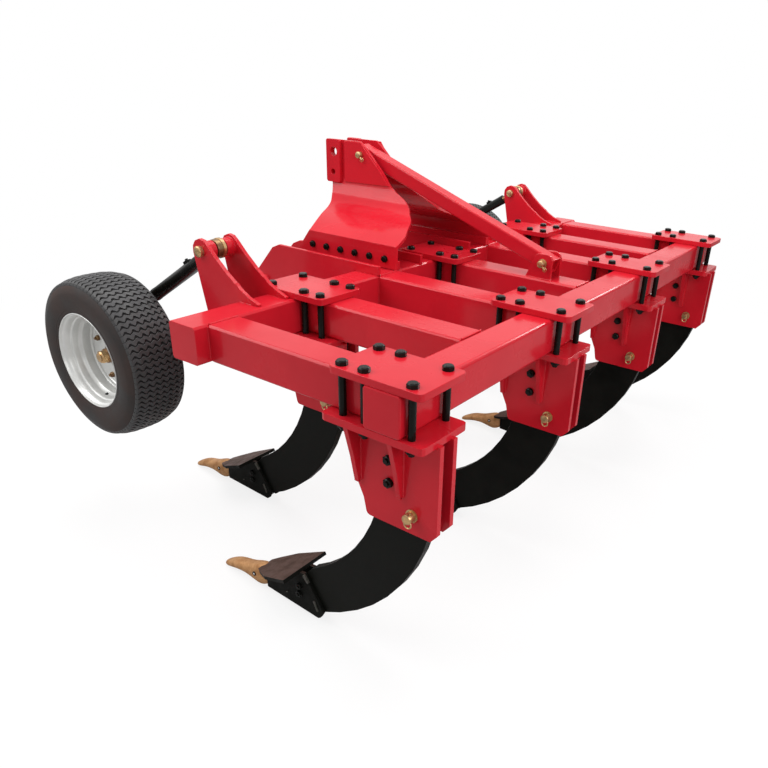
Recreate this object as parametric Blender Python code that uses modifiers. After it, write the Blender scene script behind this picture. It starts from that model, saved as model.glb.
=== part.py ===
"""Mounted subsoiler with seven shanks in two rows and two gauge wheels.

Metres, +Z up. The machine travels toward -X; +Y is its right-hand side.
Local places are measured from the rear beam's centre line (x), the frame's
middle plane (y) and the ground under the shoes (z). The empty named datum
moves that point so that the whole machine is centred on the origin.
"""

import math

import bmesh
import bpy
from mathutils import Matrix, Vector

GAP = 0.0003            # clearance left between two pieces that touch
MERGE = 0.00006         # points nearer than this are one point

# Frame
TUBE = 0.112            # side of the square beams and rails
TUBE_CORNER = 0.006     # outer corner radius of the tubes
FRAME_TOP = 0.902       # height of the tubes' top face over the ground
ROW_GAP = 0.711         # front beam's centre line to rear beam's centre line
RAIL_PITCH = 0.370      # spacing of the seven rails and shanks
RAIL_COUNT = 7
FRONT_OVERHANG = 0.044  # beam end past the outer face of the outer rail
REAR_OVERHANG = 0.039

# Clamps: two plates and six bolts that hold a shank bracket to the frame
PLATE_LENGTH = 0.281
PLATE_WIDTH = 0.187
PLATE_THICKNESS = 0.020
LOWER_PLATE_LENGTH = 0.315      # the bracket's plate, under the tubes
LOWER_PLATE_SHIFT = 0.0105      # its middle from the upper plate's, toward the other row
LOWER_PLATE_CORNER = 0.012
PLATE_SHIFT = 0.027     # plate's middle ahead of the rear beam, behind the front one
BOLT_SPREAD = 0.138     # across a rail
BOLT_ROW = 0.0714       # beam's centre line to the bolt rows next to it
BOLT_OUTER_ROW = 0.1411 # beam's centre line to the outermost bolt row
BOLT_RADIUS = 0.0080
BOLT_HOLE = 0.0090
HEAD_RADIUS = 0.0150    # across the corners of the hexagon
HEAD_HEIGHT = 0.009
NUT_HEIGHT = 0.014

# Brackets
CHEEK_THICKNESS = 0.016
CHEEK_GAP = 0.040       # slot between the cheeks
BRACKET_DEPTH = 0.270   # lower plate's underside to the cheeks' lower edge
FRONT_SET_BACK = 0.020  # front cheeks and shanks stand further back on their plates
RIB_THICKNESS = 0.014
RIB_PLACES = (-0.0935, 0.0440)
RIB_REACH = 0.052       # rib's width at the top
RIB_TOE = 0.010         # rib's width at its foot
RIB_DEPTH = 0.172

# Shanks
SHANK_THICKNESS = 0.030
CONCAVE_CENTRE = (-0.583, -0.234)   # front edge's arc, from the plate's middle and the frame's top
CONCAVE_RADIUS = 0.5525
CONCAVE_SWEEP = (-17, -60, 7)   # first angle, last angle, steps
SHANK_DEPTH = 0.129             # rear edge's radius less the front edge's
CONVEX_SHIFT = (0.042, -0.003)  # rear edge's centre from the front edge's
CONVEX_SWEEP = (-66, -13, 8)
SHANK_FOOT = (
    # back from the front edge's lower end, up from it
    (-0.037, -0.043),
    (-0.112, -0.083),
    (-0.112, -0.143),
    (0.033, -0.161),
)

# Shoes and tips, from the lower end of the shank's front edge
WING_REAR = (-0.047, -0.0195)   # top of the wing's rear edge
WING_SLOPE = math.radians(24)
WING_THICKNESS = 0.012
WING_PLAN = (
    # ahead of the rear edge, half width
    (0.000, 0.091),
    (0.117, 0.075),
    (0.179, 0.046),
    (0.205, 0.030),
)
SHOE_CHEEK = 0.012
HEEL = (0.036, -0.171)          # lower rear corner of the shoe
HEEL_RISE = (0.051, -0.140)
SHOE_BACK = (-0.024, -0.026)
SHOE_NOSE = (-0.198, -0.160)    # lower front corner
TIP_WIDTH = 0.062
TIP_STATIONS = (
    # ahead of the shoe, share of the width, underside, top
    (0.0000, 1.00, -0.1495, -0.1035),
    (0.0365, 1.00, -0.1695, -0.1195),
    (0.0390, 1.00, -0.1695, -0.0975),
    (0.0680, 1.00, -0.1775, -0.1090),
    (0.0950, 0.93, -0.1705, -0.1210),
    (0.1450, 0.80, -0.1715, -0.1395),
    (0.1950, 0.60, -0.1835, -0.1610),
    (0.2180, 0.50, -0.1890, -0.1690),
    (0.2300, 0.36, -0.1870, -0.1755),
)

# Three-point hitch
MAST_THICKNESS = 0.012
MAST_PROFILE = (
    # out from the middle, height over the frame, front edge, rear edge
    (0.051, 0.404, -1.220, -1.062),
    (0.051, 0.381, -1.224, -1.032),
    (0.051, 0.300, -1.224, -0.948),
    (0.053, 0.245, -1.222, -0.902),
    (0.066, 0.206, -1.213, -0.842),
    (0.083, 0.181, -1.202, -0.795),
    (0.107, 0.160, -1.188, -0.761),
    (0.147, 0.143, -1.169, -0.728),
    (0.209, 0.126, -1.141, -0.692),
    (0.266, 0.107, -1.117, -0.663),
    (0.322, 0.083, -1.092, -0.655),
    (0.322, 0.002, -1.160, -0.655),
)
LUG_THICKNESS = 0.016
LUG_FRONT = -1.233
LUG_REAR = -1.158
LUG_BOTTOM = 0.236
LUG_TOP = 0.405
TOP_LINK_HOLE = (-1.192, 0.357)
TOP_LINK_RADIUS = 0.0145
SPARE_HOLE = (-1.197, 0.278)
SPARE_RADIUS = 0.0095
LINK_PLATE_OUT = 0.421          # middle plane of a clevis's outer plate
INNER_PLATE = 0.170
LINK_PLATE_THICKNESS = 0.014
LINK_PLATE_IN = MAST_PROFILE[-1][0] - (MAST_THICKNESS + LINK_PLATE_THICKNESS) / 2 - GAP
LINK_PLATE_RISE = 0.033
LINK_PLATE_BEND = (0.084, 0.148)        # top corner, back and up from the pin
LINK_PIN = (-1.246, -0.115)
LINK_PIN_RADIUS = 0.014
LINK_NOSE = 0.055
BRACE_WIDTH = 0.057
BRACE_HEIGHT = 0.056
BRACE_CORNER = 0.007
BRACE_FRONT_REACH = 0.034       # tube's ends past its pins
BRACE_REAR_REACH = 0.032
BRACE_FRONT_PIN = (-1.060, 0.355)
BRACE_REAR_PIN = (-0.203, 0.056)
BRACE_PIN_RADIUS = 0.0125
BRACE_EAR_THICKNESS = 0.010
BRACE_EAR_GAP = 0.061

# Gauge wheels
EAR_PAST_SHANK = (0.160, 0.287) # middle of each pair of ears past the outer front shank
EYE_PLANES = (-2 * RAIL_PITCH - EAR_PAST_SHANK[0], 2 * RAIL_PITCH + EAR_PAST_SHANK[1])
EAR_THICKNESS = 0.014
EAR_GAP = 0.098
EAR_PIN = (-0.925, 0.128)
EAR_ROUND = 0.0385
EAR_FOOT = 0.045
EAR_BACK = (
    # curved rear edge: back from the ear's pin, down from it
    (0.069, 0.014),
    (0.111, 0.049),
    (0.169, 0.089),
    (0.226, 0.132),
)
EAR_TOE = (
    # lower edge: back from the arm's pivot, down from it
    (0.146, -0.042),
    (0.097, 0.003),
    (0.044, 0.016),
)
ARM_PIVOT = (-0.872, -0.082)
AXLE = (-1.333, -0.282)
ARM_PIN = (-1.374, -0.144)
WHEEL_OFFSET = 0.1715
TYRE_RADIUS = 0.284
TYRE_WIDTH = 0.212
RIM_RADIUS = 0.168
RIM_SEAT = 0.155
WHEEL_STEPS = 24
ARM_WIDTH = 0.070
ARM_HEIGHT = 0.060
BARREL_RADIUS = 0.0205
BARREL_BORE = 0.0130
BARREL_LENGTH = 0.330
BARREL_START = 0.085
ROD_RADIUS = 0.0120
ROD_IN_BARREL = 0.120
EYE_RADIUS = 0.028
EYE_WIDTH = 0.034
EYE_PIN_RADIUS = 0.012
LINK_END_RADIUS = 0.010
OPEN_PIVOT = 0.007      # slack round the adjuster's lower pin, where the linkage is opened
AXLE_RADIUS = 0.0175
HUB_BORE = 0.0185
HUB_OUTER = 0.002       # hub's outer face past the wheel's middle plane
HUB_INNER = -0.088
AXLE_NUT = 0.025
AXLE_NUT_HEIGHT = 0.018

RED = ("red_paint", (0.55, 0.012, 0.022, 1.0), 0.35, 0.0)
BLACK = ("black_paint", (0.012, 0.012, 0.011, 1.0), 0.45, 0.0)
BROWN = ("brown_steel", (0.060, 0.032, 0.030, 1.0), 0.55, 0.6)
BRONZE = ("cast_tip", (0.48, 0.25, 0.10, 1.0), 0.5, 0.7)
ZINC = ("yellow_zinc", (0.60, 0.42, 0.20, 1.0), 0.35, 0.9)
SILVER = ("galvanised", (0.60, 0.60, 0.60, 1.0), 0.35, 0.9)
RUBBER = ("tyre_rubber", (0.020, 0.020, 0.022, 1.0), 0.8, 0.0)

ACROSS = Matrix.Rotation(math.radians(90), 4, "X")     # a flat's XY goes to XZ
SLOT_HALF = CHEEK_GAP / 2
BRACKET_HALF = SLOT_HALF + CHEEK_THICKNESS
FRONT_X = -ROW_GAP
OUTER_RAIL = RAIL_PITCH * (RAIL_COUNT - 1) / 2
PLATE_UNDER = FRAME_TOP - TUBE - PLATE_THICKNESS - GAP


def clear_scene():
    for obj in list(bpy.data.objects):
        bpy.data.objects.remove(obj, do_unlink=True)


def material(finish):
    name, colour, roughness, metallic = finish
    found = bpy.data.materials.get(name)
    if found:
        return found
    made = bpy.data.materials.new(name)
    made.use_nodes = True
    shader = made.node_tree.nodes["Principled BSDF"]
    shader.inputs["Base Color"].default_value = colour
    shader.inputs["Roughness"].default_value = roughness
    shader.inputs["Metallic"].default_value = metallic
    made.diffuse_color = colour
    return made


def scratch(data):
    """An object for work in progress, in the collection of cutters."""
    obj = bpy.data.objects.new("work", data)
    CUTTERS.objects.link(obj)
    obj.hide_render = True
    obj.display_type = "WIRE"
    return obj


def settled(obj):
    """The object's evaluated shape as a plain mesh object; the old one goes."""
    graph = bpy.context.evaluated_depsgraph_get()
    mesh = bpy.data.meshes.new_from_object(obj.evaluated_get(graph))
    mesh.transform(obj.matrix_world)
    bpy.data.objects.remove(obj, do_unlink=True)
    work = bmesh.new()
    work.from_mesh(mesh)
    bmesh.ops.remove_doubles(work, verts=work.verts, dist=MERGE)
    work.to_mesh(mesh)
    work.free()
    return scratch(mesh)


def moved(obj, matrix):
    obj.data.transform(matrix)
    if matrix.to_3x3().determinant() < 0:
        obj.data.flip_normals()
    return obj


def arc(centre, radius, start, end, steps):
    """Points along an arc, angles in degrees."""
    span = [math.radians(start + (end - start) * i / steps) for i in range(steps + 1)]
    return [(centre[0] + radius * math.cos(a), centre[1] + radius * math.sin(a)) for a in span]


def rounded(corners, steps=2):
    """An outline from (x, y, radius) corners, each rounded by an arc."""
    outline = []
    for i, (x, y, radius) in enumerate(corners):
        here = Vector((x, y))
        if radius == 0:
            outline.append((x, y))
            continue
        before = (Vector(corners[i - 1][:2]) - here).normalized()
        after = (Vector(corners[(i + 1) % len(corners)][:2]) - here).normalized()
        half = before.angle(after) / 2
        middle = here + (before + after).normalized() * radius / math.sin(half)
        first = here + before * radius / math.tan(half) - middle
        last = here + after * radius / math.tan(half) - middle
        turn = first.angle_signed(last)
        for k in range(steps + 1):
            spot = middle + Matrix.Rotation(-turn * k / steps, 2) @ first
            outline.append((spot.x, spot.y))
    return outline


def box_outline(x0, x1, y0, y1, radius=0, steps=2):
    corners = ((x0, y0), (x1, y0), (x1, y1), (x0, y1))
    return rounded([(x, y, radius) for x, y in corners], steps)


def flat(outline, thickness, holes=(), sides=8):
    """A flat outline in XY, thickness centred on Z, with round holes (x, y, radius)."""
    curve = bpy.data.curves.new("flat", "CURVE")
    curve.dimensions = "2D"
    curve.fill_mode = "BOTH"
    curve.extrude = thickness / 2
    loops = [outline]
    for x, y, radius in holes:
        loops.append([
            (x + radius * math.cos(2 * math.pi * (k + 0.5) / sides),
             y + radius * math.sin(2 * math.pi * (k + 0.5) / sides))
            for k in range(sides)
        ])
    for loop in loops:
        spline = curve.splines.new("POLY")
        spline.points.add(len(loop) - 1)
        spline.use_cyclic_u = True
        for point, (x, y) in zip(spline.points, loop):
            point.co = (x, y, 0, 1)
    obj = scratch(curve)
    bpy.context.view_layer.update()
    return settled(obj)


def upright(outline, y, thickness, holes=(), sides=8):
    """A flat outline in XZ whose middle plane is at y."""
    return moved(flat(outline, thickness, holes, sides), Matrix.Translation((0, y, 0)) @ ACROSS)


def rod(start, end, radius, sides=10):
    """A round or many-sided bar between two points."""
    start, end = Vector(start), Vector(end)
    mesh = bpy.data.meshes.new("rod")
    work = bmesh.new()
    bmesh.ops.create_cone(work, cap_ends=True, segments=sides, radius1=radius, radius2=radius,
                          depth=(end - start).length)
    work.to_mesh(mesh)
    work.free()
    turn = Vector((0, 0, 1)).rotation_difference(end - start).to_matrix().to_4x4()
    return moved(scratch(mesh), Matrix.Translation((start + end) / 2) @ turn)


def combined(base, operation, others):
    for other in others:
        change = base.modifiers.new("cut", "BOOLEAN")
        change.operation = operation
        change.solver = "EXACT"
        change.object = other
    bpy.context.view_layer.update()
    result = settled(base)
    for other in others:
        bpy.data.objects.remove(other, do_unlink=True)
    return result


def clear_hole(radius, sides=10):
    """Radius of a many-sided hole that clears a pin as the pin turns."""
    return (radius + GAP) / math.cos(math.pi / sides)


def fused(base, *others):
    return combined(base, "UNION", others)


def cut(base, *others):
    return combined(base, "DIFFERENCE", others)


def turned(profile, steps):
    """A closed ring turned about Y from (radius, y) points, outer side from low y to high y."""
    mesh = bpy.data.meshes.new("turned")
    work = bmesh.new()
    spots = [work.verts.new((radius, 0, y)) for radius, y in profile]
    for i in range(len(spots)):
        work.edges.new((spots[i - 1], spots[i]))
    work.to_mesh(mesh)
    work.free()
    obj = scratch(mesh)
    screw = obj.modifiers.new("turn", "SCREW")
    screw.axis = "Z"
    screw.steps = steps
    screw.render_steps = steps
    screw.use_merge_vertices = True
    screw.merge_threshold = 0.00005
    bpy.context.view_layer.update()
    done = settled(obj)
    work = bmesh.new()
    work.from_mesh(done.data)
    bmesh.ops.recalc_face_normals(work, faces=work.faces)
    work.to_mesh(done.data)
    work.free()
    return moved(done, Matrix.Rotation(math.radians(-90), 4, "X"))


def piece(name, shape, finish, place=(0, 0, 0), turn=0.0, origin=(0, 0, 0), smooth=None):
    """One named piece of the machine. Its mesh may be shared with its copies."""
    mesh = shape.data if isinstance(shape, bpy.types.Object) else shape
    mesh.name = name + "_mesh"
    if isinstance(shape, bpy.types.Object):
        bpy.data.objects.remove(shape, do_unlink=True)
        mesh.transform(Matrix.Translation(-Vector(origin)))
    if not mesh.materials:
        mesh.materials.append(material(finish))
    if smooth:
        mesh.shade_smooth()
        mesh.set_sharp_from_angle(angle=math.radians(smooth))
    obj = bpy.data.objects.new(name, mesh)
    MACHINE.objects.link(obj)
    obj.parent = DATUM
    obj.location = Vector(place) + Vector(origin)
    obj.rotation_euler = (0, 0, turn)
    return mesh


def square_tube(length):
    half = TUBE / 2
    return flat(box_outline(-half, half, -half, half, TUBE_CORNER, 1), length)


def rail_y(number):
    return (number - (RAIL_COUNT + 1) / 2) * RAIL_PITCH


def bolt_rows(rear):
    """Bolt places from the plate's middle; the front clamps are turned round."""
    rows = (-BOLT_OUTER_ROW, -BOLT_ROW, BOLT_ROW)
    side = 1 if rear else -1
    return [
        (side * (row + PLATE_SHIFT), y)
        for row in rows
        for y in (-BOLT_SPREAD / 2, BOLT_SPREAD / 2)
    ]


def ear_outline():
    """Wheel ear in XZ, from the frame's top: eye, curved back, foot and pivot."""
    x, z = EAR_PIN
    back = [(x + out, z - down) for out, down in EAR_BACK]
    px, pz = ARM_PIVOT
    foot = [(px + out, pz - down) for out, down in EAR_TOE]
    top = arc(EAR_PIN, EAR_ROUND, 190, 35, 5)
    low = arc(ARM_PIVOT, EAR_FOOT, -50, -170, 3)
    return top + back + foot + low


def front_beam():
    length = 2 * OUTER_RAIL + TUBE + 2 * FRONT_OVERHANG
    beam = moved(square_tube(length), Matrix.Translation((FRONT_X, 0, -TUBE / 2)) @ ACROSS)
    ears = []
    for plane in EYE_PLANES:
        for side in (-1, 1):
            y = plane + side * (EAR_GAP + EAR_THICKNESS) / 2
            holes = [(*spot, clear_hole(EYE_PIN_RADIUS)) for spot in (EAR_PIN, ARM_PIVOT)]
            ears.append(upright(ear_outline(), y, EAR_THICKNESS, holes, sides=10))
    for side in (-1, 1):
        ears.append(upright(link_plate_outline(), side * INNER_PLATE, LINK_PLATE_THICKNESS))
    beam = fused(beam, *ears)
    piece("front_beam", moved(beam, Matrix.Translation((0, 0, FRAME_TOP))), RED)


def rear_beam():
    length = 2 * OUTER_RAIL + TUBE + 2 * REAR_OVERHANG
    beam = moved(square_tube(length), Matrix.Translation((0, 0, FRAME_TOP - TUBE / 2)) @ ACROSS)
    piece("rear_beam", beam, RED)


def rails():
    length = ROW_GAP - TUBE - 2 * GAP
    along = Matrix.Rotation(math.radians(90), 4, "Y")
    middle = Matrix.Translation((FRONT_X / 2, 0, FRAME_TOP - TUBE / 2))
    mesh = None
    for number in range(1, RAIL_COUNT + 1):
        y = rail_y(number)
        if number == (RAIL_COUNT + 1) // 2:
            bar = moved(square_tube(length), middle @ along)
            ears = []
            for side in (-1, 1):
                place = side * (BRACE_EAR_GAP + BRACE_EAR_THICKNESS) / 2
                x, z = BRACE_REAR_PIN
                outline = rounded([
                    (x - 0.070, FRAME_TOP - 0.010, 0), (x + 0.036, FRAME_TOP - 0.010, 0),
                    (x + 0.036, FRAME_TOP + z + 0.034, 0.02), (x - 0.030, FRAME_TOP + z + 0.034, 0.02),
                ])
                hole = (x, FRAME_TOP + z, clear_hole(BRACE_PIN_RADIUS))
                ears.append(upright(outline, place, BRACE_EAR_THICKNESS, [hole], sides=10))
            piece("rail_%d" % number, fused(bar, *ears), RED, (0, y, 0))
            continue
        shape = mesh or moved(square_tube(length), middle @ along)
        mesh = piece("rail_%d" % number, shape, RED, (0, y, 0))


def clamp_top():
    """Top plate with its six long bolts and their nuts, for a rear clamp."""
    half_length, half_width = PLATE_LENGTH / 2, PLATE_WIDTH / 2
    plate = flat(box_outline(-half_length, half_length, -half_width, half_width), PLATE_THICKNESS)
    middle = FRAME_TOP + GAP + PLATE_THICKNESS / 2
    top = middle + PLATE_THICKNESS / 2
    bolts = []
    for x, y in bolt_rows(True):
        low = PLATE_UNDER - GAP - NUT_HEIGHT / 2
        bolts.append(rod((x, y, low), (x, y, top - 0.004), BOLT_RADIUS, 6))
        bolts.append(rod((x, y, top - 0.002), (x, y, top + HEAD_HEIGHT), HEAD_RADIUS, 6))
        nut = PLATE_UNDER - GAP
        bolts.append(rod((x, y, nut - NUT_HEIGHT), (x, y, nut), HEAD_RADIUS, 6))
    return fused(moved(plate, Matrix.Translation((0, 0, middle))), *bolts)


def cheek_outline():
    """Bracket side plate in XZ, from the frame's top face."""
    top = -TUBE - PLATE_THICKNESS + 0.004
    low = -TUBE - PLATE_THICKNESS - BRACKET_DEPTH
    return rounded([
        (-0.106, top, 0), (-0.101, -0.3065, 0), (-0.079, -0.352, 0), (-0.068, low, 0.012),
        (0.138, low, 0), (0.1575, low + 0.023, 0), (0.1575, top, 0),
    ])


def bracket(rear):
    half_length, half_width = LOWER_PLATE_LENGTH / 2, PLATE_WIDTH / 2
    outline = box_outline(-half_length, half_length, -half_width, half_width, LOWER_PLATE_CORNER)
    plate = flat(outline, PLATE_THICKNESS)
    shift = -LOWER_PLATE_SHIFT if rear else LOWER_PLATE_SHIFT
    plate = moved(plate, Matrix.Translation((shift, 0, PLATE_UNDER + PLATE_THICKNESS / 2)))
    top = -TUBE - PLATE_THICKNESS
    rest = []
    lift = Matrix.Translation((0 if rear else FRONT_SET_BACK, 0, FRAME_TOP))
    for side in (-1, 1):
        y = side * (SLOT_HALF + CHEEK_THICKNESS / 2)
        rest.append(moved(upright(cheek_outline(), y, CHEEK_THICKNESS), lift))
        for x in RIB_PLACES:
            x = x if rear else -x
            rib = [
                (SLOT_HALF + 0.008, top + 0.004), (BRACKET_HALF + RIB_REACH, top + 0.004),
                (BRACKET_HALF + RIB_REACH * 0.5, top - RIB_DEPTH * 0.55),
                (BRACKET_HALF + RIB_TOE, top - RIB_DEPTH), (SLOT_HALF + 0.008, top - RIB_DEPTH),
            ]
            stand = flat(rib, RIB_THICKNESS)
            place = Matrix.Translation((x, 0, FRAME_TOP)) @ Matrix.Rotation(math.pi / 2, 4, "Z") @ ACROSS
            if side < 0:
                place = Matrix.Scale(-1, 4, (0, 1, 0)) @ place
            rest.append(moved(stand, place))
    low, high = PLATE_UNDER - 0.01, FRAME_TOP - TUBE + 0.01
    drills = [rod((x, y, low), (x, y, high), BOLT_HOLE, 6) for x, y in bolt_rows(rear)]
    return cut(fused(plate, *rest), *drills)


def shank_toe():
    """Lower end of the shank's front edge, from the plate's middle and the frame's top."""
    return arc(CONCAVE_CENTRE, CONCAVE_RADIUS, *CONCAVE_SWEEP)[-1]


def from_toe(place, across=0.0, up=0.0):
    """A place given from the shank's toe, and moved by a clearance."""
    x, z = shank_toe()
    return (x + place[0] + across, z + place[1] + up)


def shank_outline():
    """Curved shank in XZ, from the plate's middle and the frame's top face."""
    centre = (CONCAVE_CENTRE[0] + CONVEX_SHIFT[0], CONCAVE_CENTRE[1] + CONVEX_SHIFT[1])
    front = arc(CONCAVE_CENTRE, CONCAVE_RADIUS, *CONCAVE_SWEEP)
    rear = arc(centre, CONCAVE_RADIUS + SHANK_DEPTH, *CONVEX_SWEEP)
    top = -TUBE - PLATE_THICKNESS - 2 * GAP
    foot = [from_toe(place) for place in SHANK_FOOT]
    return [(front[0][0] - 0.006, top)] + front + foot + rear + [(rear[-1][0] + 0.008, top)]


def shank():
    shape = upright(shank_outline(), 0, SHANK_THICKNESS)
    return moved(shape, Matrix.Translation((0, 0, FRAME_TOP)))


def shoe():
    """Adapter cheeks on both sides of the shank's end, under a sloping wing plate."""
    y = SHANK_THICKNESS / 2 + GAP + SHOE_CHEEK / 2
    wing_x, wing_z = from_toe(WING_REAR)
    fall = math.tan(WING_SLOPE)

    def under_wing(x):
        """Height in the wing's lower half at a place along the shoe."""
        return wing_z - WING_THICKNESS * 0.7 / math.cos(WING_SLOPE) + (x - wing_x) * fall

    nose_x, nose_z = from_toe(SHOE_NOSE)
    under_nose = (nose_x, under_wing(nose_x))
    outline = [
        (nose_x, nose_z), from_toe(HEEL, -0.008), from_toe(HEEL, 0.001, 0.006), from_toe(HEEL_RISE),
        from_toe(SHOE_BACK), (wing_x + 0.002, under_wing(wing_x + 0.002)), under_nose,
    ]
    cheeks = [upright(outline, side * y, SHOE_CHEEK) for side in (-1, 1)]
    seat = [from_toe(place, -2 * GAP, 2 * GAP) for place in SHANK_FOOT[:2]]
    block = [
        (nose_x, nose_z), (seat[1][0], nose_z), seat[1], seat[0],
        (wing_x + 0.002, under_wing(wing_x + 0.002)), under_nose,
    ]
    core = upright(block, 0, 2 * y)
    plan = [(-ahead, half) for ahead, half in WING_PLAN]
    plan += [(-ahead, -half) for ahead, half in reversed(WING_PLAN)]
    place = Matrix.Translation((wing_x, 0, wing_z)) @ Matrix.Rotation(-WING_SLOPE, 4, "Y")
    plate = moved(flat(plan, WING_THICKNESS), place @ Matrix.Translation((0, 0, -WING_THICKNESS / 2)))
    return moved(fused(cheeks[0], cheeks[1], core, plate), Matrix.Translation((0, 0, FRAME_TOP)))


def tip():
    """Cast point: a wedge that broadens and thickens toward the shoe."""
    toe_x, toe_z = shank_toe()
    mesh = bpy.data.meshes.new("tip")
    work = bmesh.new()
    rings = []
    for ahead, share, low, high in TIP_STATIONS:
        x = toe_x + SHOE_NOSE[0] - GAP - ahead
        wide = TIP_WIDTH / 2 * share
        edge = (high - low) * 0.35
        ring = [(-wide, low + edge), (-wide * 0.75, low), (wide * 0.75, low), (wide, low + edge),
                (wide * 0.65, high), (-wide * 0.65, high)]
        rings.append([work.verts.new((x, y, FRAME_TOP + toe_z + z)) for y, z in ring])
    for one, two in zip(rings, rings[1:]):
        for i in range(len(one)):
            work.faces.new((one[i - 1], one[i], two[i], two[i - 1]))
    work.faces.new(rings[0])
    work.faces.new(rings[-1])
    bmesh.ops.recalc_face_normals(work, faces=work.faces)
    work.to_mesh(mesh)
    work.free()
    return scratch(mesh)


def working_sets():
    """The seven clamps, brackets, shanks, shoes and tips; odd numbers stand on the rear beam."""
    meshes = {
        "clamp": clamp_top(), "rear": bracket(True), "front": bracket(False),
        "shank": shank(), "shoe": shoe(), "tip": tip(),
    }
    for number in range(1, RAIL_COUNT + 1):
        rear = number % 2 == 1
        x = -PLATE_SHIFT if rear else FRONT_X + PLATE_SHIFT
        place = (x, rail_y(number), 0)
        hung = (x if rear else x + FRONT_SET_BACK, rail_y(number), 0)
        turn = 0 if rear else math.pi
        row = "rear" if rear else "front"
        meshes["clamp"] = piece("clamp_%d" % number, meshes["clamp"], RED, place, turn)
        meshes[row] = piece("bracket_%d" % number, meshes[row], RED, place)
        meshes["shank"] = piece("shank_%d" % number, meshes["shank"], BLACK, hung)
        meshes["shoe"] = piece("shoe_%d" % number, meshes["shoe"], BROWN, hung)
        meshes["tip"] = piece("tip_%d" % number, meshes["tip"], BRONZE, hung, smooth=40)


def mast_half():
    """One bent mast plate, for the right-hand side, with its lug plate and holes."""
    mesh = bpy.data.meshes.new("mast")
    work = bmesh.new()
    rows = []
    for out, height, front, rear in MAST_PROFILE:
        spots = [(front, out, height), (rear, out, height)]
        rows.append([work.verts.new(spot) for spot in spots])
    for one, two in zip(rows, rows[1:]):
        work.faces.new((one[0], two[0], two[1], one[1]))
    bmesh.ops.recalc_face_normals(work, faces=work.faces)
    work.to_mesh(mesh)
    work.free()
    sheet = scratch(mesh)
    wall = sheet.modifiers.new("wall", "SOLIDIFY")
    wall.thickness = MAST_THICKNESS
    wall.offset = 0
    wall.use_even_offset = True
    bpy.context.view_layer.update()
    sheet = settled(sheet)
    out = MAST_PROFILE[0][0] + MAST_THICKNESS / 2 + LUG_THICKNESS / 2 - 0.001
    lug = upright(box_outline(LUG_FRONT, LUG_REAR, LUG_BOTTOM, LUG_TOP, 0.010), out, LUG_THICKNESS)
    plate = fused(sheet, lug)
    holes = [(*TOP_LINK_HOLE, TOP_LINK_RADIUS), (*SPARE_HOLE, SPARE_RADIUS),
             (*BRACE_FRONT_PIN, clear_hole(BRACE_PIN_RADIUS))]
    drills = [rod((x, 0, z), (x, 0.12, z), radius, 10) for x, z, radius in holes]
    return moved(cut(plate, *drills), Matrix.Translation((0, 0, FRAME_TOP)))


def masts():
    right = mast_half()
    left = scratch(right.data.copy())
    moved(left, Matrix.Scale(-1, 4, (0, 1, 0)))
    piece("mast_right", right, RED, smooth=25)
    piece("mast_left", left, RED, smooth=25)


def link_plate_outline(clearance=-0.004):
    """Hitch plate in XZ from the frame's top, notched round the front beam."""
    back = FRONT_X + TUBE / 2
    face = FRONT_X - TUBE / 2 - clearance
    low = -TUBE - 0.040
    x, z = LINK_PIN
    out, rise = LINK_PLATE_BEND
    return (
        [(back, clearance), (back, LINK_PLATE_RISE), (x + out, z + rise)]
        + [(x + out * 0.55, z + rise * 0.89)]
        + arc(LINK_PIN, LINK_NOSE, 141, 270, 5)
        + [(face - 0.080, low), (face, low), (face, clearance)]
    )


def lower_hitches():
    for name, side in (("left", -1), ("right", 1)):
        outline = link_plate_outline(GAP)
        middles = (LINK_PLATE_OUT, LINK_PLATE_IN)
        plates = [upright(outline, side * y, LINK_PLATE_THICKNESS) for y in middles]
        ends = [side * (y + reach) for y, reach in zip(middles, (0.020, -0.020))]
        x, z = LINK_PIN
        pin = rod((x, ends[0], z), (x, ends[1], z), LINK_PIN_RADIUS, 10)
        shape = fused(plates[0], plates[1], pin)
        piece("lower_hitch_" + name, moved(shape, Matrix.Translation((0, 0, FRAME_TOP))), RED)


def brace():
    """Square tube from the mast's top pin back to the ears on the middle rail."""
    front = Vector((BRACE_FRONT_PIN[0], BRACE_FRONT_PIN[1] + FRAME_TOP))
    rear = Vector((BRACE_REAR_PIN[0], BRACE_REAR_PIN[1] + FRAME_TOP))
    along = (rear - front).normalized()
    start = front - along * BRACE_FRONT_REACH
    end = rear + along * BRACE_REAR_REACH
    lean = Matrix.Rotation(math.atan2(-along.y, along.x), 4, "Y") @ Matrix.Rotation(math.pi / 2, 4, "Y")
    middle = (start + end) / 2
    high, wide = BRACE_HEIGHT / 2, BRACE_WIDTH / 2
    section = box_outline(-high, high, -wide, wide, BRACE_CORNER, 2)
    bar = moved(flat(section, (end - start).length), Matrix.Translation((middle.x, 0, middle.y)) @ lean)
    hollow = box_outline(-high + 0.006, high - 0.006, -wide + 0.006, wide - 0.006)
    bar = cut(bar, moved(flat(hollow, 0.06), Matrix.Translation((end.x, 0, end.y)) @ lean))
    reach = MAST_PROFILE[0][0] + 0.022
    pin_a = rod((front.x, -reach, front.y), (front.x, reach, front.y), BRACE_PIN_RADIUS, 10)
    reach = BRACE_EAR_GAP / 2 + BRACE_EAR_THICKNESS + 0.016
    pin_b = rod((rear.x, -reach, rear.y), (rear.x, reach, rear.y), BRACE_PIN_RADIUS, 10)
    piece("brace_tube", fused(bar, pin_a, pin_b), RED)


def ring(centre, y, width, outer, inner, sides=10):
    """A short tube about Y."""
    outline = arc(centre, outer, 0, 360 - 360 / sides, sides - 1)
    return upright(outline, y, width, [(*centre, inner)], sides)


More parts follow.
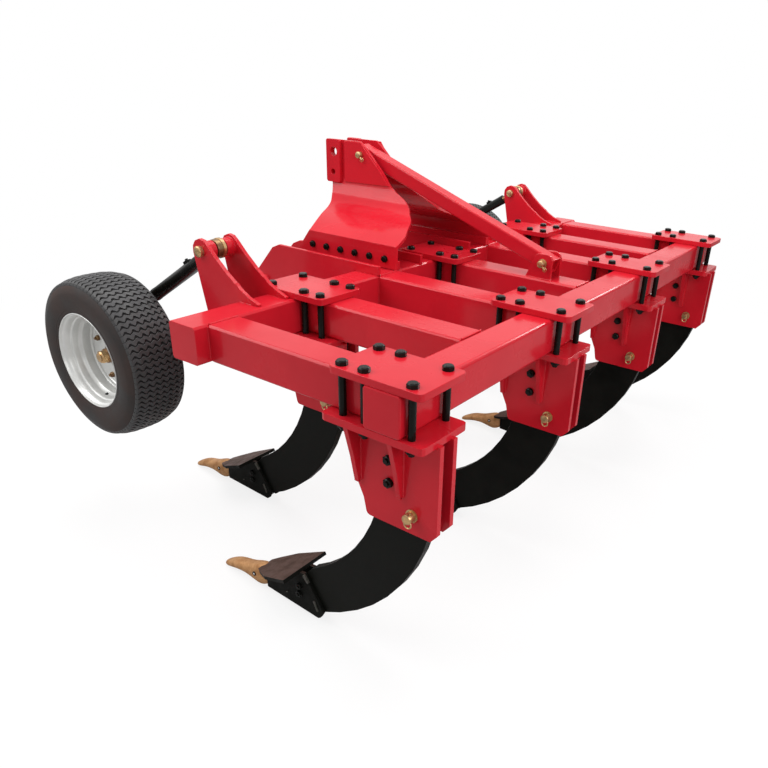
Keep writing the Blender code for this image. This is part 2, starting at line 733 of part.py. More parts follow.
def wheel_arm(plane, side):
    """Arm from the ears' lower pin to the stub axle, with the adjuster's lug."""
    a, b, c = Vector(ARM_PIVOT), Vector(AXLE), Vector(ARM_PIN)
    along = (b - a).normalized()
    up = Vector((along.y, -along.x)) * ARM_HEIGHT / 2
    outline = [tuple(a - up), tuple(b + along * 0.03 - up), tuple(b + along * 0.03 + up), tuple(a + up)]
    bar = upright(outline, plane, ARM_WIDTH)
    pivot = rod((a.x, plane - EAR_GAP / 2 + 0.002, a.y), (a.x, plane + EAR_GAP / 2 - 0.002, a.y), 0.030, 10)
    reach = EAR_GAP / 2 + EAR_THICKNESS + 0.010
    pin = rod((a.x, plane - reach, a.y), (a.x, plane + reach, a.y), EYE_PIN_RADIUS, 10)
    lug = [tuple(b - along * 0.080), tuple(b + along * 0.02)] + arc(ARM_PIN, 0.026, 200, -10, 5)
    lugs = [upright(lug, plane + s * (EYE_WIDTH / 2 + 0.008), 0.010) for s in (-1, 1)]
    reach = EYE_WIDTH / 2 + 0.020
    link = rod((c.x, plane - reach, c.y), (c.x, plane + reach, c.y), LINK_END_RADIUS, 10)
    wheel_y = plane + side * WHEEL_OFFSET
    nut_start = wheel_y + side * (HUB_OUTER + GAP)
    nut_end = nut_start + side * AXLE_NUT_HEIGHT
    axle = rod((b.x, plane, b.y), (b.x, nut_end + side * 0.008, b.y), AXLE_RADIUS, 10)
    collar = rod((b.x, plane, b.y), (b.x, wheel_y + side * (HUB_INNER - GAP), b.y), AXLE_NUT, 10)
    nut = rod((b.x, nut_start, b.y), (b.x, nut_end, b.y), AXLE_NUT, 6)
    return fused(bar, pivot, pin, *lugs, link, axle, collar, nut)


def adjusters(plane):
    """Screw adjuster: a barrel on the ears' pin and a rod that slides in it."""
    top, low = Vector(EAR_PIN), Vector(ARM_PIN)
    along = (low - top).normalized()

    def spot(distance):
        point = top + along * distance
        return (point.x, plane, point.y)

    span = (low - top).length
    end = BARREL_START + BARREL_LENGTH
    barrel = rod(spot(BARREL_START), spot(end), BARREL_RADIUS, 10)
    barrel = cut(barrel, rod(spot(end - 0.235), spot(end + 0.01), BARREL_BORE, 10))
    neck = rod(spot(0.010), spot(BARREL_START + 0.02), 0.011, 10)
    eye = rod((top.x, plane - EYE_WIDTH / 2, top.y), (top.x, plane + EYE_WIDTH / 2, top.y), EYE_RADIUS, 10)
    reach = EAR_GAP / 2 + EAR_THICKNESS + 0.012
    pin = rod((top.x, plane - reach, top.y), (top.x, plane + reach, top.y), EYE_PIN_RADIUS, 10)
    barrel = fused(barrel, neck, eye, pin)
    slider = rod(spot(end - ROD_IN_BARREL), spot(span - 0.018), ROD_RADIUS, 10)
    slider = fused(slider, ring(ARM_PIN, plane, EYE_WIDTH - 0.002, EYE_RADIUS, LINK_END_RADIUS + OPEN_PIVOT))
    return barrel, slider


def tyre():
    """Tyre cross-section turned about the axle: bead, side wall, shoulder and crown."""
    half = TYRE_WIDTH / 2
    side = [
        (RIM_SEAT + GAP, half - 0.030), (RIM_RADIUS + GAP, half - 0.015), (RIM_RADIUS + GAP, half - 0.006),
        (0.230, half), (TYRE_RADIUS - 0.018, half - 0.016), (TYRE_RADIUS - 0.003, half - 0.048),
    ]
    outer = [(r, -y) for r, y in side] + [(TYRE_RADIUS, 0)] + [(r, y) for r, y in reversed(side)]
    return turned(outer, WHEEL_STEPS)


def rim():
    """Rim well, dish and hub: the dish is near the arm, the mouth faces out (+Y here)."""
    half = TYRE_WIDTH / 2
    wall = 0.004
    seat = RIM_SEAT - 0.001
    outer = [
        (HUB_BORE, HUB_INNER), (HUB_BORE, HUB_OUTER), (0.040, HUB_OUTER), (0.040, -0.056), (0.134, -0.060),
        (0.134, 0.045), (seat - wall, 0.062), (RIM_RADIUS - wall, half - 0.012),
        (RIM_RADIUS - wall, half - 0.006), (RIM_RADIUS, half - 0.006), (RIM_RADIUS, half - 0.014),
        (seat, half - 0.030), (seat, 0.060), (0.138, 0.043), (0.138, -0.062), (seat, -0.074),
        (seat, -half + 0.030), (RIM_RADIUS, -half + 0.014), (RIM_RADIUS, -half + 0.006),
        (RIM_RADIUS - wall, -half + 0.006), (seat - wall, -0.076), (0.046, -0.062), (0.046, HUB_INNER),
    ]
    return turned(outer, WHEEL_STEPS)


def gauge_wheels():
    for name, side, plane in (("left", -1, EYE_PLANES[0]), ("right", 1, EYE_PLANES[1])):
        lift = Matrix.Translation((0, 0, FRAME_TOP))
        pivot = (ARM_PIVOT[0], plane, ARM_PIVOT[1] + FRAME_TOP)
        eye = (EAR_PIN[0], plane, EAR_PIN[1] + FRAME_TOP)
        axle = (AXLE[0], plane + side * WHEEL_OFFSET, AXLE[1] + FRAME_TOP)
        piece("wheel_arm_" + name, moved(wheel_arm(plane, side), lift), RED, origin=pivot)
        barrel, slider = adjusters(plane)
        piece("adjuster_barrel_" + name, moved(barrel, lift), BLACK, origin=eye)
        piece("adjuster_rod_" + name, moved(slider, lift), ZINC, origin=eye)
        facing = Matrix.Translation(axle) @ Matrix.Rotation(0 if side > 0 else math.pi, 4, "Z")
        piece("tyre_" + name, moved(tyre(), facing), RUBBER, origin=axle, smooth=40)
        piece("rim_" + name, moved(rim(), facing), SILVER, origin=axle, smooth=40)


def centred_datum():
    """Puts the middle of the machine's length and width over the origin."""
    front = AXLE[0] - TYRE_RADIUS
    rear = -PLATE_SHIFT + 0.1575
    left = -(OUTER_RAIL + TUBE / 2 + FRONT_OVERHANG)
    right = EYE_PLANES[1] + WHEEL_OFFSET + TYRE_WIDTH / 2
    empty = bpy.data.objects.new("datum", None)
    MACHINE.objects.link(empty)
    empty.location = (-(front + rear) / 2, -(left + right) / 2, 0)
    return empty


clear_scene()
MACHINE = bpy.data.collections.new("subsoiler")
CUTTERS = bpy.data.collections.new("cutters")
bpy.context.scene.collection.children.link(MACHINE)
bpy.context.scene.collection.children.link(CUTTERS)
DATUM = centred_datum()
front_beam()
rear_beam()
rails()
working_sets()
masts()
lower_hitches()
brace()
gauge_wheels()
print("datum", tuple(DATUM.location))
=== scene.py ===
"""Looks of a mounted subsoiler with seven shanks in two rows and two gauge wheels.

Metres, +Z up. The machine travels toward -X. Places in the tables are measured from the rear
beam's centre line (x), the frame's middle plane (y) and the top of the frame's tubes (z).
Turned profiles are rows of (distance along the axis, radius).
"""

import math
from collections import namedtuple

import bmesh
import bpy
from mathutils import Matrix, Vector


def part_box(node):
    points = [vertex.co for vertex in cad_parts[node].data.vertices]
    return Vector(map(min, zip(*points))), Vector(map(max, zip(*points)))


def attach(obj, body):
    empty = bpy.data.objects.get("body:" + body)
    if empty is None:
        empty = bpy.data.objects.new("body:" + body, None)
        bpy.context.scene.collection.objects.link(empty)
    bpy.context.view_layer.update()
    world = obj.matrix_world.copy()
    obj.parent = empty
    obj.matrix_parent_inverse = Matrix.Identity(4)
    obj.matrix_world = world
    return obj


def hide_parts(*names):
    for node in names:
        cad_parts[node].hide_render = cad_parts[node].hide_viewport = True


bl_info = {
    "name": "Subsoiler looks",
    "version": (1, 0, 0),
    "blender": (4, 5, 0),
    "location": "3D View > Sidebar > Subsoiler",
    "description": "Paint, fasteners, welds, tyres and rims for the subsoiler's frame",
    "category": "Object",
}

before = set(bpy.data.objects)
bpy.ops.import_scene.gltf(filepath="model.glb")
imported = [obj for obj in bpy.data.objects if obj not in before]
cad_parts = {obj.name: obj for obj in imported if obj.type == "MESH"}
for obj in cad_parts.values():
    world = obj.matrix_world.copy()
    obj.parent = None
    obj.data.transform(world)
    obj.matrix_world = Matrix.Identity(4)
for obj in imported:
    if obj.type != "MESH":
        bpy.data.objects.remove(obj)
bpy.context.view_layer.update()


def frame_datum():
    """The point from which the tables' places are measured."""
    low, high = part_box("rear_beam")
    return Vector(((low.x + high.x) / 2, (low.y + high.y) / 2, high.z))


DATUM = frame_datum()
BOTH = (-1, 1)                  # the left and right side of a plane
UPRIGHT = Matrix(((1, 0, 0, 0), (0, 0, 1, 0), (0, 1, 0, 0), (0, 0, 0, 1)))     # outlines in X and Z

# Frame
TUBE = 0.112
RAIL_PITCH = 0.370
RAIL_COUNT = 7
NUMBERS = range(1, RAIL_COUNT + 1)
RAIL_ENDS = {"rear": -0.0563, "front": -0.6547}
HUNG_MIDDLES = {"rear": -0.027, "front": -0.664}
BOLT_ROWS = {
    "rear": (-0.1411, -0.0714, 0.0714),
    "front": (-0.5699, -0.6396, -0.7824),
}
BOLT_HALF_SPREAD = 0.069
CLAMP_ROD = ((-0.004, 0.0100), (0.150, 0.0100))
PLATE_SEAT = 0.0003             # lower face of the clamp plates, over the tubes
PLATE_TOP = 0.0203
PLATE_LOW = -0.1323             # lower face of the brackets' plates
PLATE_CORNER = 0.016
SINK = 0.0005                   # how deep a fastener sits in its face
CHEEK_FACE = 0.036              # outer face of a bracket's cheek from its middle plane
CHEEK_BOLTS = ((0.0045, -0.212), (0.0060, -0.277))
CHEEK_PIN = (0.080, -0.347)
CHEEK_ENDS = (-0.098, 0.149)
RIB_PLACES = {"rear": (-0.1205, 0.0170), "front": (-0.5905, -0.7280)}
RIB_HALF = 0.007
RIB_FOOT = -0.303
RIB_TOE = (0.008, -0.304)       # out from the cheek, and height
RIB_HEAD = -0.1363              # where a rib's welds start, under the plate
WELD_INSET = 0.006
WELD_RIPPLES = {"Ripple Spacing": 0.006, "Ripple Depth": 0.16}

# Mast and hitch
MAST_THICKNESS = 0.012
MAST_PROFILE = (
    # out from the middle, height over the frame, front edge, rear edge
    (0.051, 0.404, -1.220, -1.062),
    (0.051, 0.381, -1.224, -1.032),
    (0.051, 0.300, -1.224, -0.948),
    (0.053, 0.245, -1.214, -0.898),
    (0.066, 0.206, -1.203, -0.822),
    (0.083, 0.181, -1.193, -0.786),
    (0.107, 0.160, -1.178, -0.762),
    (0.147, 0.143, -1.160, -0.725),
    (0.209, 0.126, -1.136, -0.692),
    (0.266, 0.107, -1.112, -0.663),
    (0.322, 0.083, -1.092, -0.655),
    (0.322, 0.002, -1.160, -0.655),
)
MAST_STEPS = 5                  # rows made from each row of the profile
MAST_COLUMNS = 8
MAST_LUG = (-1.233, -1.159, 0.237, 0.405)
MAST_LUG_CORNER = 0.010
MAST_LUG_FACES = (0.0560, 0.0720)
MAST_LUG_HOLES = ((-1.192, 0.357, 0.0180), (-1.197, 0.278, 0.0115))
MAST_DOUBLER = (
    (-1.139, 0.243), (-0.908, 0.249), (-0.950, 0.299), (-1.034, 0.380), (-1.050, 0.4015),
    (-1.139, 0.4015),
)
MAST_DOUBLER_FACES = (0.0565, 0.0645)
MAST_FLANGE = 0.328
MAST_BOLT_Z = 0.036
MAST_BOLTS_X = (-1.072, -0.999, -0.926, -0.853, -0.780, -0.707)
MAST_PIN = (-1.054, 0.355)
MAST_PIN_HOLE = (*MAST_PIN, 0.0130)
MAST_PIN_REACH = 0.073
DRILL_REACH = 0.2
BRACE_REAR_PIN = (-0.203, 0.056)
BRACE_PIN_REACH = 0.0565
BRACE_PIN_ROOT = 0.014          # where the shown end starts, inside the pin's reach
LINK_PIN = (-1.246, -0.115)
LINK_FACE = 0.2887
LINK_PIN_ROOT = 0.008           # where the shown end starts, behind the plate's face

# Pins
PIN_PROFILE = (
    # share of the pin's reach, distance beyond that, share of its radius
    (0, -0.002, 1.30),
    (0, 0.0028, 1.30),
    (0, 0.0032, 1.00),
    (1, -0.003, 1.00),
    (1, -0.0008, 0.90),
    (1, 0, 0.72),
)
PIN_ENDS = {
    # radius, reach, radius of the spring pin's ring, how far the ring hangs
    "cheek": (0.0142, 0.026, 0.0105, 0.017),
    "brace": (0.0130, 0.022, 0.0, 0.0),
    "link": (0.0150, 0.024, 0.0130, 0.018),
}
SPRING_PIN = 0.0022
SPRING_PIN_AT = 0.60            # share of the pin's reach
SPRING_PIN_LEAN = Vector((0.42, 0, 0.91))
SPRING_PIN_BACK = 1.75          # in radii of the pin, as is the next
SPRING_PIN_LENGTH = 3.3
RING_WIRE = 0.22                # share of the ring's radius
RING_OUT = 0.002
KEEPER = 0.036                  # length of the rod across a brace pin's end
KEEPER_OUT = 0.002
KEEPER_BACK = 0.25              # share of its length, as is the next
KEEPER_RING_AT = 0.70
KEEPER_LEAN = Vector((0.72, 0, -0.69))
KEEPER_PROFILE = ((0, 0.0022), (0.001, 0.0032), (KEEPER - 0.001, 0.0032), (KEEPER, 0.0022))
KEEPER_RING = (0.0072, 0.0014)

# Gauge wheels
Wheel = namedtuple("Wheel", ("outward", "arm_y", "wheel_y"))
WHEELS = {
    "left": Wheel(-1, -0.900, -1.0715),
    "right": Wheel(1, 1.027, 1.1985),
}
AXLE = (-1.333, -0.282)
EAR_PIN = (-0.925, 0.128)
EAR_REACH = 0.062               # where the caps of the ear pins start
EAR_DISC = 0.0175
EAR_CAP = ((0, EAR_DISC), (0.0125, EAR_DISC), (0.0145, EAR_DISC - 0.0020), (0.0152, EAR_DISC - 0.0035))
EAR_FACES = (0.0495, 0.0625)
EAR_TOE = (
    (-0.775, 0.0005), (-0.678, 0.0005), (-0.678, 0.006), (-0.690, 0.0105), (-0.720, 0.020),
    (-0.756, 0.039), (-0.775, 0.055),
)
EAR_BOSS = ((0, 0.0315), (0.003, 0.0285), (0.0285, 0.0285), (0.0300, 0.0270))
ARM_PIVOT = (-0.872, -0.082)
ARM_PIN = (-1.374, -0.144)
SLEEVE_START = 0.083
SLEEVE = (
    (0.0, 0.0190), (0.003, 0.0228), (0.020, 0.0228), (0.0215, 0.0222), (0.335, 0.0222), (0.3365, 0.0230),
    (0.349, 0.0230), (0.352, 0.0205),
)
EYE_SIDE = -0.0180
EYE = ((0, 0.0245), (0.002, 0.0290), (0.006, 0.0300), (0.030, 0.0300), (0.034, 0.0290), (0.036, 0.0245))
EYE_NECK_START = 0.018
EYE_NECK = ((0, 0.0125), (0.030, 0.0130), (0.072, 0.0165))
FLANGE_SIDE = 0.0020
FLANGE = ((0, 0.0290), (0.0010, 0.0322), (0.0110, 0.0322), (0.0120, 0.0290))
CLIP_START = 0.176
CLIP_BLOCKS = (
    # half length, half width, corner radius, lower and upper face over the sleeve's axis
    (0.013, 0.010, 0.003, 0.012, 0.0285),
    (0.005, 0.004, 0.002, 0.028, 0.0345),
)

# Tyres, as (radius, distance from the wheel's middle plane)
TYRE_STEPS = 96
TYRE_SIDE = (
    (0.1556, 0.076), (0.1684, 0.091), (0.1686, 0.098), (0.1730, 0.1005), (0.1800, 0.1008),
    (0.1820, 0.1022), (0.1860, 0.1022), (0.1880, 0.1030), (0.2060, 0.1046), (0.2250, 0.1056),
    (0.2290, 0.1048), (0.2330, 0.1048), (0.2400, 0.1030), (0.2500, 0.0990), (0.2580, 0.0945),
    (0.2630, 0.0905),
)
SIDE_WALL = 0.262
CARCASS_TOP = 0.2780
CARCASS_ROWS = (0.084, 0.070, 0.052, 0.034, 0.016)
CROWN_DROP = 0.014
CROWN_POWER = 3.0
TREAD_HALF = 0.090
TREAD_TOP = 0.2832
TREAD_DEPTH = 0.0065
TREAD_WAVES = 7
WAVE_STEPS = 8
TREAD_SWAY = 0.0047
RIB_SHARE = 0.350               # half a rib's width as a share of the ribs' spacing
RIB_SWELL = 0.065
RIB_DIP = 0.0006                # how much lower a rib is where it is thin
RIB_CHAMFER = (0.0009, 0.0008)
RIB_SPREAD = (0.16, 6)          # widening toward the shoulder, and its power
RIB_END = (2.10, 12, 0.16)      # fall, narrowing and rise of the base beyond the tread

# Rims, as (radius, distance from the wheel's middle plane); the open side is +Y
RIM_STEPS = 72
RIM_INNER = (
    (0.0190, -0.088), (0.0190, 0.0018), (0.0360, 0.0018), (0.0375, 0.0095), (0.0400, 0.0105),
    (0.0930, 0.0105), (0.1030, 0.0090), (0.1070, 0.0045), (0.1110, -0.0040), (0.1160, -0.0090),
    (0.1230, -0.0110), (0.1310, -0.0105), (0.1345, -0.0070), (0.1350, -0.0030), (0.1365, 0.0000),
    (0.1385, 0.0030), (0.1390, 0.0090), (0.1390, 0.0260), (0.1400, 0.0310), (0.1460, 0.0400),
    (0.1475, 0.0460), (0.1475, 0.0600), (0.1490, 0.0640), (0.1530, 0.0670), (0.1545, 0.0720),
    (0.1550, 0.0800), (0.1580, 0.0870), (0.1620, 0.0910), (0.1635, 0.0950), (0.1645, 0.0990),
    (0.1662, 0.1000), (0.1678, 0.0990),
)
RIM_OUTER = (
    (0.1680, 0.0930), (0.1578, 0.0800), (0.1554, 0.0750), (0.1554, 0.0600), (0.1500, 0.0430),
    (0.1450, 0.0300), (0.1450, -0.0620), (0.1540, -0.0740), (0.1540, -0.0760), (0.1675, -0.0930),
    (0.1675, -0.0990), (0.1640, -0.0990), (0.1500, -0.0790), (0.1380, -0.0660), (0.0480, -0.0620),
    (0.0460, -0.0870),
)
WHEEL_BOLTS = (37, 157, 277)
WHEEL_BOLT_RING = 0.079
WHEEL_BOLT_FACE = 0.0102
HUB_FACE = 0.0020
HUB = ((0, 0.0330), (0.0025, 0.0330), (0.0040, 0.0275), (0.0275, 0.0262), (0.0290, 0.0250))
NUT_FACE = 0.0305
VALVE_ANGLE = math.radians(-84)
VALVE_RING = 0.1475
VALVE_FACE = 0.0440
VALVE_LEAN = 0.55
VALVE = ((-0.004, 0.0066), (0.0016, 0.0066), (0.0026, 0.0054))

# Shoes and points, from the lower end of a shank's front edge
WING_SLOPE = math.radians(24)
SHANK_TOE = (-0.30675, -0.71248)
SHOE_NOSE = Vector((-0.1983, 0, 0))
SHOE_FACE = 0.0273
SHOE_BOLTS = ((-0.0465, -0.0805), (-0.0490, -0.1120))
# Raised light grey bars on the shoe cheeks: painted highlights on the cheeks' edges; the first is also a
# small clip plate
SHOE_HIGHLIGHT_BARS = (
    # place, length and width, lean in degrees
    ((-0.0160, -0.0400), (0.0300, 0.0100), 50),
    ((0.0215, -0.1260), (0.0380, 0.0080), 66),
    ((-0.1030, -0.1320), (0.0110, 0.0045), -35),
)
BAR_HEIGHT = 0.0035
BAR_CORNER = 0.35               # share of a bar's width
POINT_HALF = 0.0310
POINT_SIDES = 12
POINT_SQUARENESS = 0.62
POINT_TAPER = 0.26
POINT_STATIONS = (
    # ahead of the shoe, share of the width, underside, top
    (0.0000, 0.90, -0.1560, -0.1040),
    (0.0040, 0.93, -0.1600, -0.1010),
    (0.0260, 1.00, -0.1760, -0.0965),
    (0.0480, 1.00, -0.1800, -0.0990),
    (0.0750, 0.96, -0.1745, -0.1110),
    (0.1000, 0.90, -0.1690, -0.1225),
    (0.1250, 0.86, -0.1685, -0.1300),
    (0.1550, 0.84, -0.1715, -0.1360),
    (0.1850, 0.78, -0.1790, -0.1480),
    (0.2100, 0.66, -0.1870, -0.1620),
    (0.2270, 0.46, -0.1895, -0.1735),
    (0.2315, 0.30, -0.1880, -0.1775),
)
POINT_PIN_PLACE = (-0.2582, -0.1370)
POINT_PIN_FACE = 0.0290
POINT_PIN = ((-0.010, 0.0038), (0.0010, 0.0038), (0.0020, 0.0028))
# A black ring round each point pin: painted shade of the recess round the pin
POINT_POCKET_SHADE = (0.0058, 0.0021)

# Camera, lamps and floor
CAMERA_AZIMUTH = math.radians(33.577)
CAMERA_ELEVATION = math.radians(25.858)
CAMERA_ROLL = math.radians(2.745)
CAMERA_PLACE = (0.91462, -2.31050, 0.63452)
FOCAL_PIXELS = 690.19
IMAGE_SIZE = 768
CENTRE_PIXEL = (446.12, 416.86)
SENSOR_WIDTH = 36.0
FAR_CLIP = 200.0
LAMPS = (
    # name, place, size, watts
    ("key_soft_box", (-2.6, -3.0, 3.6), 3.2, 108),
    ("side_soft_box", (3.4, -1.2, 2.4), 2.6, 56),
    ("rear_soft_box", (0.9, 3.4, 3.0), 1.2, 45),
    ("top_soft_box", (-0.4, 0.0, 4.6), 4.0, 134),
)
LAMP_TARGET = Vector((0.0, 0.0, 0.55))
WORLD_LIGHT = 0.42
WHITE = (1, 1, 1, 1)
FLOOR_REACH = 40.0
FLOOR_GLOW = 0.82
FLOOR_PALE = (0.95, 0.95, 0.95, 1)
FLOOR_DARK = (0.55, 0.55, 0.55, 1)
FLOOR_CLOUD = (3.0, 2.0, 0.5)   # scale, detail and roughness
FLOOR_CLOUD_SHARE = 0.02
SHADOW_FADE = (1.9, 3.6)        # distances between which the floor's shadow fades out

# Finishes
RED = "red gloss paint"
BLACK = "black shank paint"
OXIDE = "black oxide fastener"
# painted highlight: the light grey finish of the bars that stand for highlights on the shoes' cheeks
WING = "hardened wing steel"
BRONZE = "cast bronze point"
PAINTED_HIGHLIGHT_GREY = "worn shoe edge"
ZINC = "yellow zinc plate"
DULL_ZINC = "dull zinc plate"
SILVER = "silver rim lacquer"
RUBBER = "tyre rubber"
TREAD = "tread rubber"
WALL = "tyre side wall"
FINISH_FIELDS = (
    "name", "slot", "prop", "tint", "second", "amount", "patch", "dust", "grain", "height",
    "smooth", "rough", "metallic", "gloss", "coat", "scratch",
)
FINISHES = {row[0]: dict(zip(FINISH_FIELDS, row)) for row in (
    (RED, "red_paint", "red", 1.0, (0.49, 0.009, 0.019), 0.6, 4.0, 0.010, 700.0, 0.02,
     0.24, 0.36, 0.0, 0.05, 0.34, 0.0),
    (BLACK, "black_paint", "black", 1.0, (0.0062, 0.0064, 0.0050), 0.9, 9.0, 0.006, 420.0, 0.18,
     0.36, 0.54, 0.0, 0.08, 0.0, 0.0),
    (OXIDE, "black_paint", "black", 1.4, (0.0080, 0.0078, 0.0070), 0.8, 40.0, 0.006, 1200.0, 0.02,
     0.18, 0.30, 0.0, 0.14, 0.0, 0.0),
    (WING, "brown_steel", "wing", 1.0, (0.060, 0.036, 0.028), 0.9, 26.0, 0.05, 420.0, 0.35,
     0.45, 0.66, 0.3, 0.20, 0.0, 0.08),
    (BRONZE, "cast_tip", "tooth", 1.05, (0.35, 0.165, 0.064), 0.9, 34.0, 0.01, 380.0, 0.45,
     0.42, 0.60, 0.3, 0.16, 0.0, 0.03),
    # painted highlight grey, for the bars that stand for highlights on the shoe cheeks' edges
    (PAINTED_HIGHLIGHT_GREY, "black_paint", "black", 14.0, (0.085, 0.075, 0.070), 0.9, 60.0, 0.05, 700.0, 0.3,
     0.38, 0.55, 0.5, 0.30, 0.0, 0.10),
    (ZINC, "yellow_zinc", "zinc", 1.0, (0.36, 0.25, 0.14), 0.9, 55.0, 0.02, 1500.0, 0.05,
     0.24, 0.40, 0.85, 0.50, 0.0, 0.10),
    (DULL_ZINC, "yellow_zinc", "zinc", 0.45, (0.12, 0.05, 0.03), 0.9, 60.0, 0.02, 1500.0, 0.05,
     0.26, 0.42, 0.8, 0.50, 0.0, 0.10),
    (SILVER, "galvanised", "silver", 1.0, (0.60, 0.61, 0.59), 0.5, 12.0, 0.01, 1300.0, 0.05,
     0.30, 0.44, 0.40, 0.50, 0.1, 0.0),
    (RUBBER, "tyre_rubber", "rubber", 0.8, (0.016, 0.016, 0.017), 0.6, 18.0, 0.02, 800.0, 0.25,
     0.50, 0.72, 0.0, 0.15, 0.0, 0.0),
    (TREAD, "tyre_rubber", "rubber", 2.0, (0.046, 0.046, 0.049), 0.8, 22.0, 0.04, 800.0, 0.25,
     0.40, 0.62, 0.0, 0.40, 0.0, 0.0),
    (WALL, "tyre_rubber", "rubber", 1.7, (0.058, 0.037, 0.032), 0.9, 5.0, 0.04, 800.0, 0.20,
     0.52, 0.74, 0.0, 0.16, 0.0, 0.0),
)}
PATCH_NOISE = (4.0, 0.6)        # detail and roughness, here and in the next three
SPECK_NOISE = (6.0, 0.7)
GRAIN_NOISE = (2.0, 0.5)
SCRATCH_NOISE = (5.0, 0.65)
SPECK_FINENESS = 9.0            # specks are so much finer than patches
PATCH_LIMITS = (0.38, 0.66)
SPECK_LIMITS = (0.48, 0.78)
SCRATCH_LIMITS = (0.55, 0.72)
DUST_BY_SLOPE = (-0.2, 1.0, 0.35, 1.0)      # from facing down to facing up
PATCH_SHARE = 0.6
SCRATCH_TURN = (0.0, 0.6, 0.2)
SCRATCH_LIGHT = (0.10, 0.095, 0.09, 1)
GRAIN_DEPTH = 0.0006
COAT_ROUGHNESS = 0.12
SHOE_GLOSS = 0.08
WING_FACING = (0.93, 0.98)      # how squarely a face must look along the wings to be steel

# Fasteners and softened edges
CLAMP_HEAD = 0.0275
FASTENER_FIELDS = (
    "Head Width", "Head Height", "Washer Width", "Washer Height", "Thread Width", "Thread Length", "Seed",
)
FASTENERS = {name: dict(zip(FASTENER_FIELDS, row)) for name, *row in (
    ("clamp_bolt_heads", CLAMP_HEAD, 0.0120, 0.03025, 0.0010, 0.01375, 0.0002, 3),
    ("clamp_nuts", CLAMP_HEAD, 0.0145, 0.0319, 0.0020, 0.0165, 0.006, 8),
    ("bracket_bolts", 0.0245, 0.0105, 0.0270, 0.0015, 0.014, 0.004, 5),
    ("mast_bolts", 0.0225, 0.0095, 0.026, 0.0015, 0.012, 0.003, 6),
    ("shoe_bolts", 0.0200, 0.0080, 0.0250, 0.0015, 0.010, 0.003, 9),
    ("wheel_bolts_", 0.0165, 0.0085, 0.020, 0.002, 0.010, 0.005, 4),
    ("axle_nut_", 0.0415, 0.0200, 0.047, 0.0025, 0.0300, 0.0030, 2),
)}
HEAD_CHAMFER = 0.22             # share of the head's height
HEX_CORNER = 0.57735            # shares of the width across the flats
HEAD_ROUND = (0.42, 0.515)
HEAD_TURN = math.pi / 3         # heads are turned by chance, up to one flat
CAD_EDGES = (
    # start of the nodes' names, share of the chosen rounding, least angle of a rounded edge
    ("front_beam", 1.0, 32),
    ("rear_beam", 1.7, 32),
    ("rail_", 1.7, 32),
    ("bracket_", 0.8, 32),
    ("lower_hitch_", 0.8, 40),
    ("brace_tube", 0.6, 40),
    ("wheel_arm_", 0.8, 45),
)
SHANK_EDGE = (0.0022, 25)
SHOE_EDGE = (0.0016, 30)
CLAMP_EDGE = (0.0018, 35)
MAST_EDGE = (0.0016, 50)
STIFFENER_EDGE = (0.0012, 50)
CLIP_EDGE = (0.0012, 35)
SMALL_EDGE = (0.0010, 35)
JOIN_REACH = 0.00005            # corners of a CAD node closer than this count as one


def row_of(number):
    """Odd shanks hang on the rear beam, even ones on the front beam."""
    return "rear" if number % 2 else "front"


def rail_y(number):
    """The middle plane of a rail and of its shank."""
    return (number - (RAIL_COUNT + 1) / 2) * RAIL_PITCH


def at(x, y, z):
    """A place of the tables in the frame's own axes."""
    return DATUM + Vector((x, y, z))


def shade(name, description, default):
    """A colour that a user may change."""
    return bpy.props.FloatVectorProperty(
        name=name, description=description, default=default, subtype="COLOR", size=3, min=0, max=1)


class SubsoilerFinish(bpy.types.PropertyGroup):
    """Sizes and colours that a user may change."""

    red: shade("Paint red", "Colour of the frame's gloss paint", (0.590, 0.012, 0.024))
    black: shade("Shank black", "Colour of the painted shanks", (0.0030, 0.0032, 0.0024))
    wing: shade("Wing steel", "Colour of the hardened wings", (0.095, 0.056, 0.045))
    tooth: shade("Point bronze", "Colour of the cast points", (0.520, 0.285, 0.125))
    zinc: shade("Yellow zinc", "Colour of the plated pins", (0.590, 0.370, 0.170))
    silver: shade("Rim silver", "Colour of the wheel rims", (0.740, 0.740, 0.725))
    rubber: shade("Tyre rubber", "Colour of the tyres", (0.0165, 0.0160, 0.0160))
    edge_round: bpy.props.FloatProperty(
        name="Edge rounding", description="Width of the softened steel edges",
        unit="LENGTH", min=0.0005, max=0.006, default=0.0025)
    head_width: bpy.props.FloatProperty(
        name="Bolt head", description="Width across the flats of the clamp bolts' heads",
        unit="LENGTH", min=0.020, max=0.040, default=CLAMP_HEAD)
    bead_radius: bpy.props.FloatProperty(
        name="Weld bead", description="Radius of the weld beads",
        unit="LENGTH", min=0.001, max=0.006, default=0.0035)
    tread_rows: bpy.props.IntProperty(
        name="Tread ribs", description="Wavy ribs round a tyre", min=20, max=110, default=84)


def settings():
    return bpy.context.scene.subsoiler_finish


# Node helpers

def fill(tree, socket, value):
    """Links a socket to another one, or sets its value."""
    if isinstance(value, bpy.types.NodeSocket):
        tree.links.new(value, socket)
    else:
        socket.default_value = value


def put(tree, kind, inputs=None, **options):
    """A node whose options are set and whose sockets are filled or linked."""
    made = tree.nodes.new(kind)
    for name, value in options.items():
        setattr(made, name, value)
    for name, value in (inputs or {}).items():
        fill(tree, made.inputs[name], value)
    return made


def maths(tree, operation, *values):
    """The output of a Math node that works on sockets or numbers."""
    made = put(tree, "ShaderNodeMath", dict(enumerate(values)), operation=operation)
    return made.outputs[0]


def times(tree, one, two):
    return maths(tree, "MULTIPLY", one, two)


def mix_colour(tree, factor, one, two, blend="MIX"):
    made = put(tree, "ShaderNodeMix", data_type="RGBA", blend_type=blend)
    for index, value in ((0, factor), (6, one), (7, two)):
        fill(tree, made.inputs[index], value)
    return made.outputs[2]


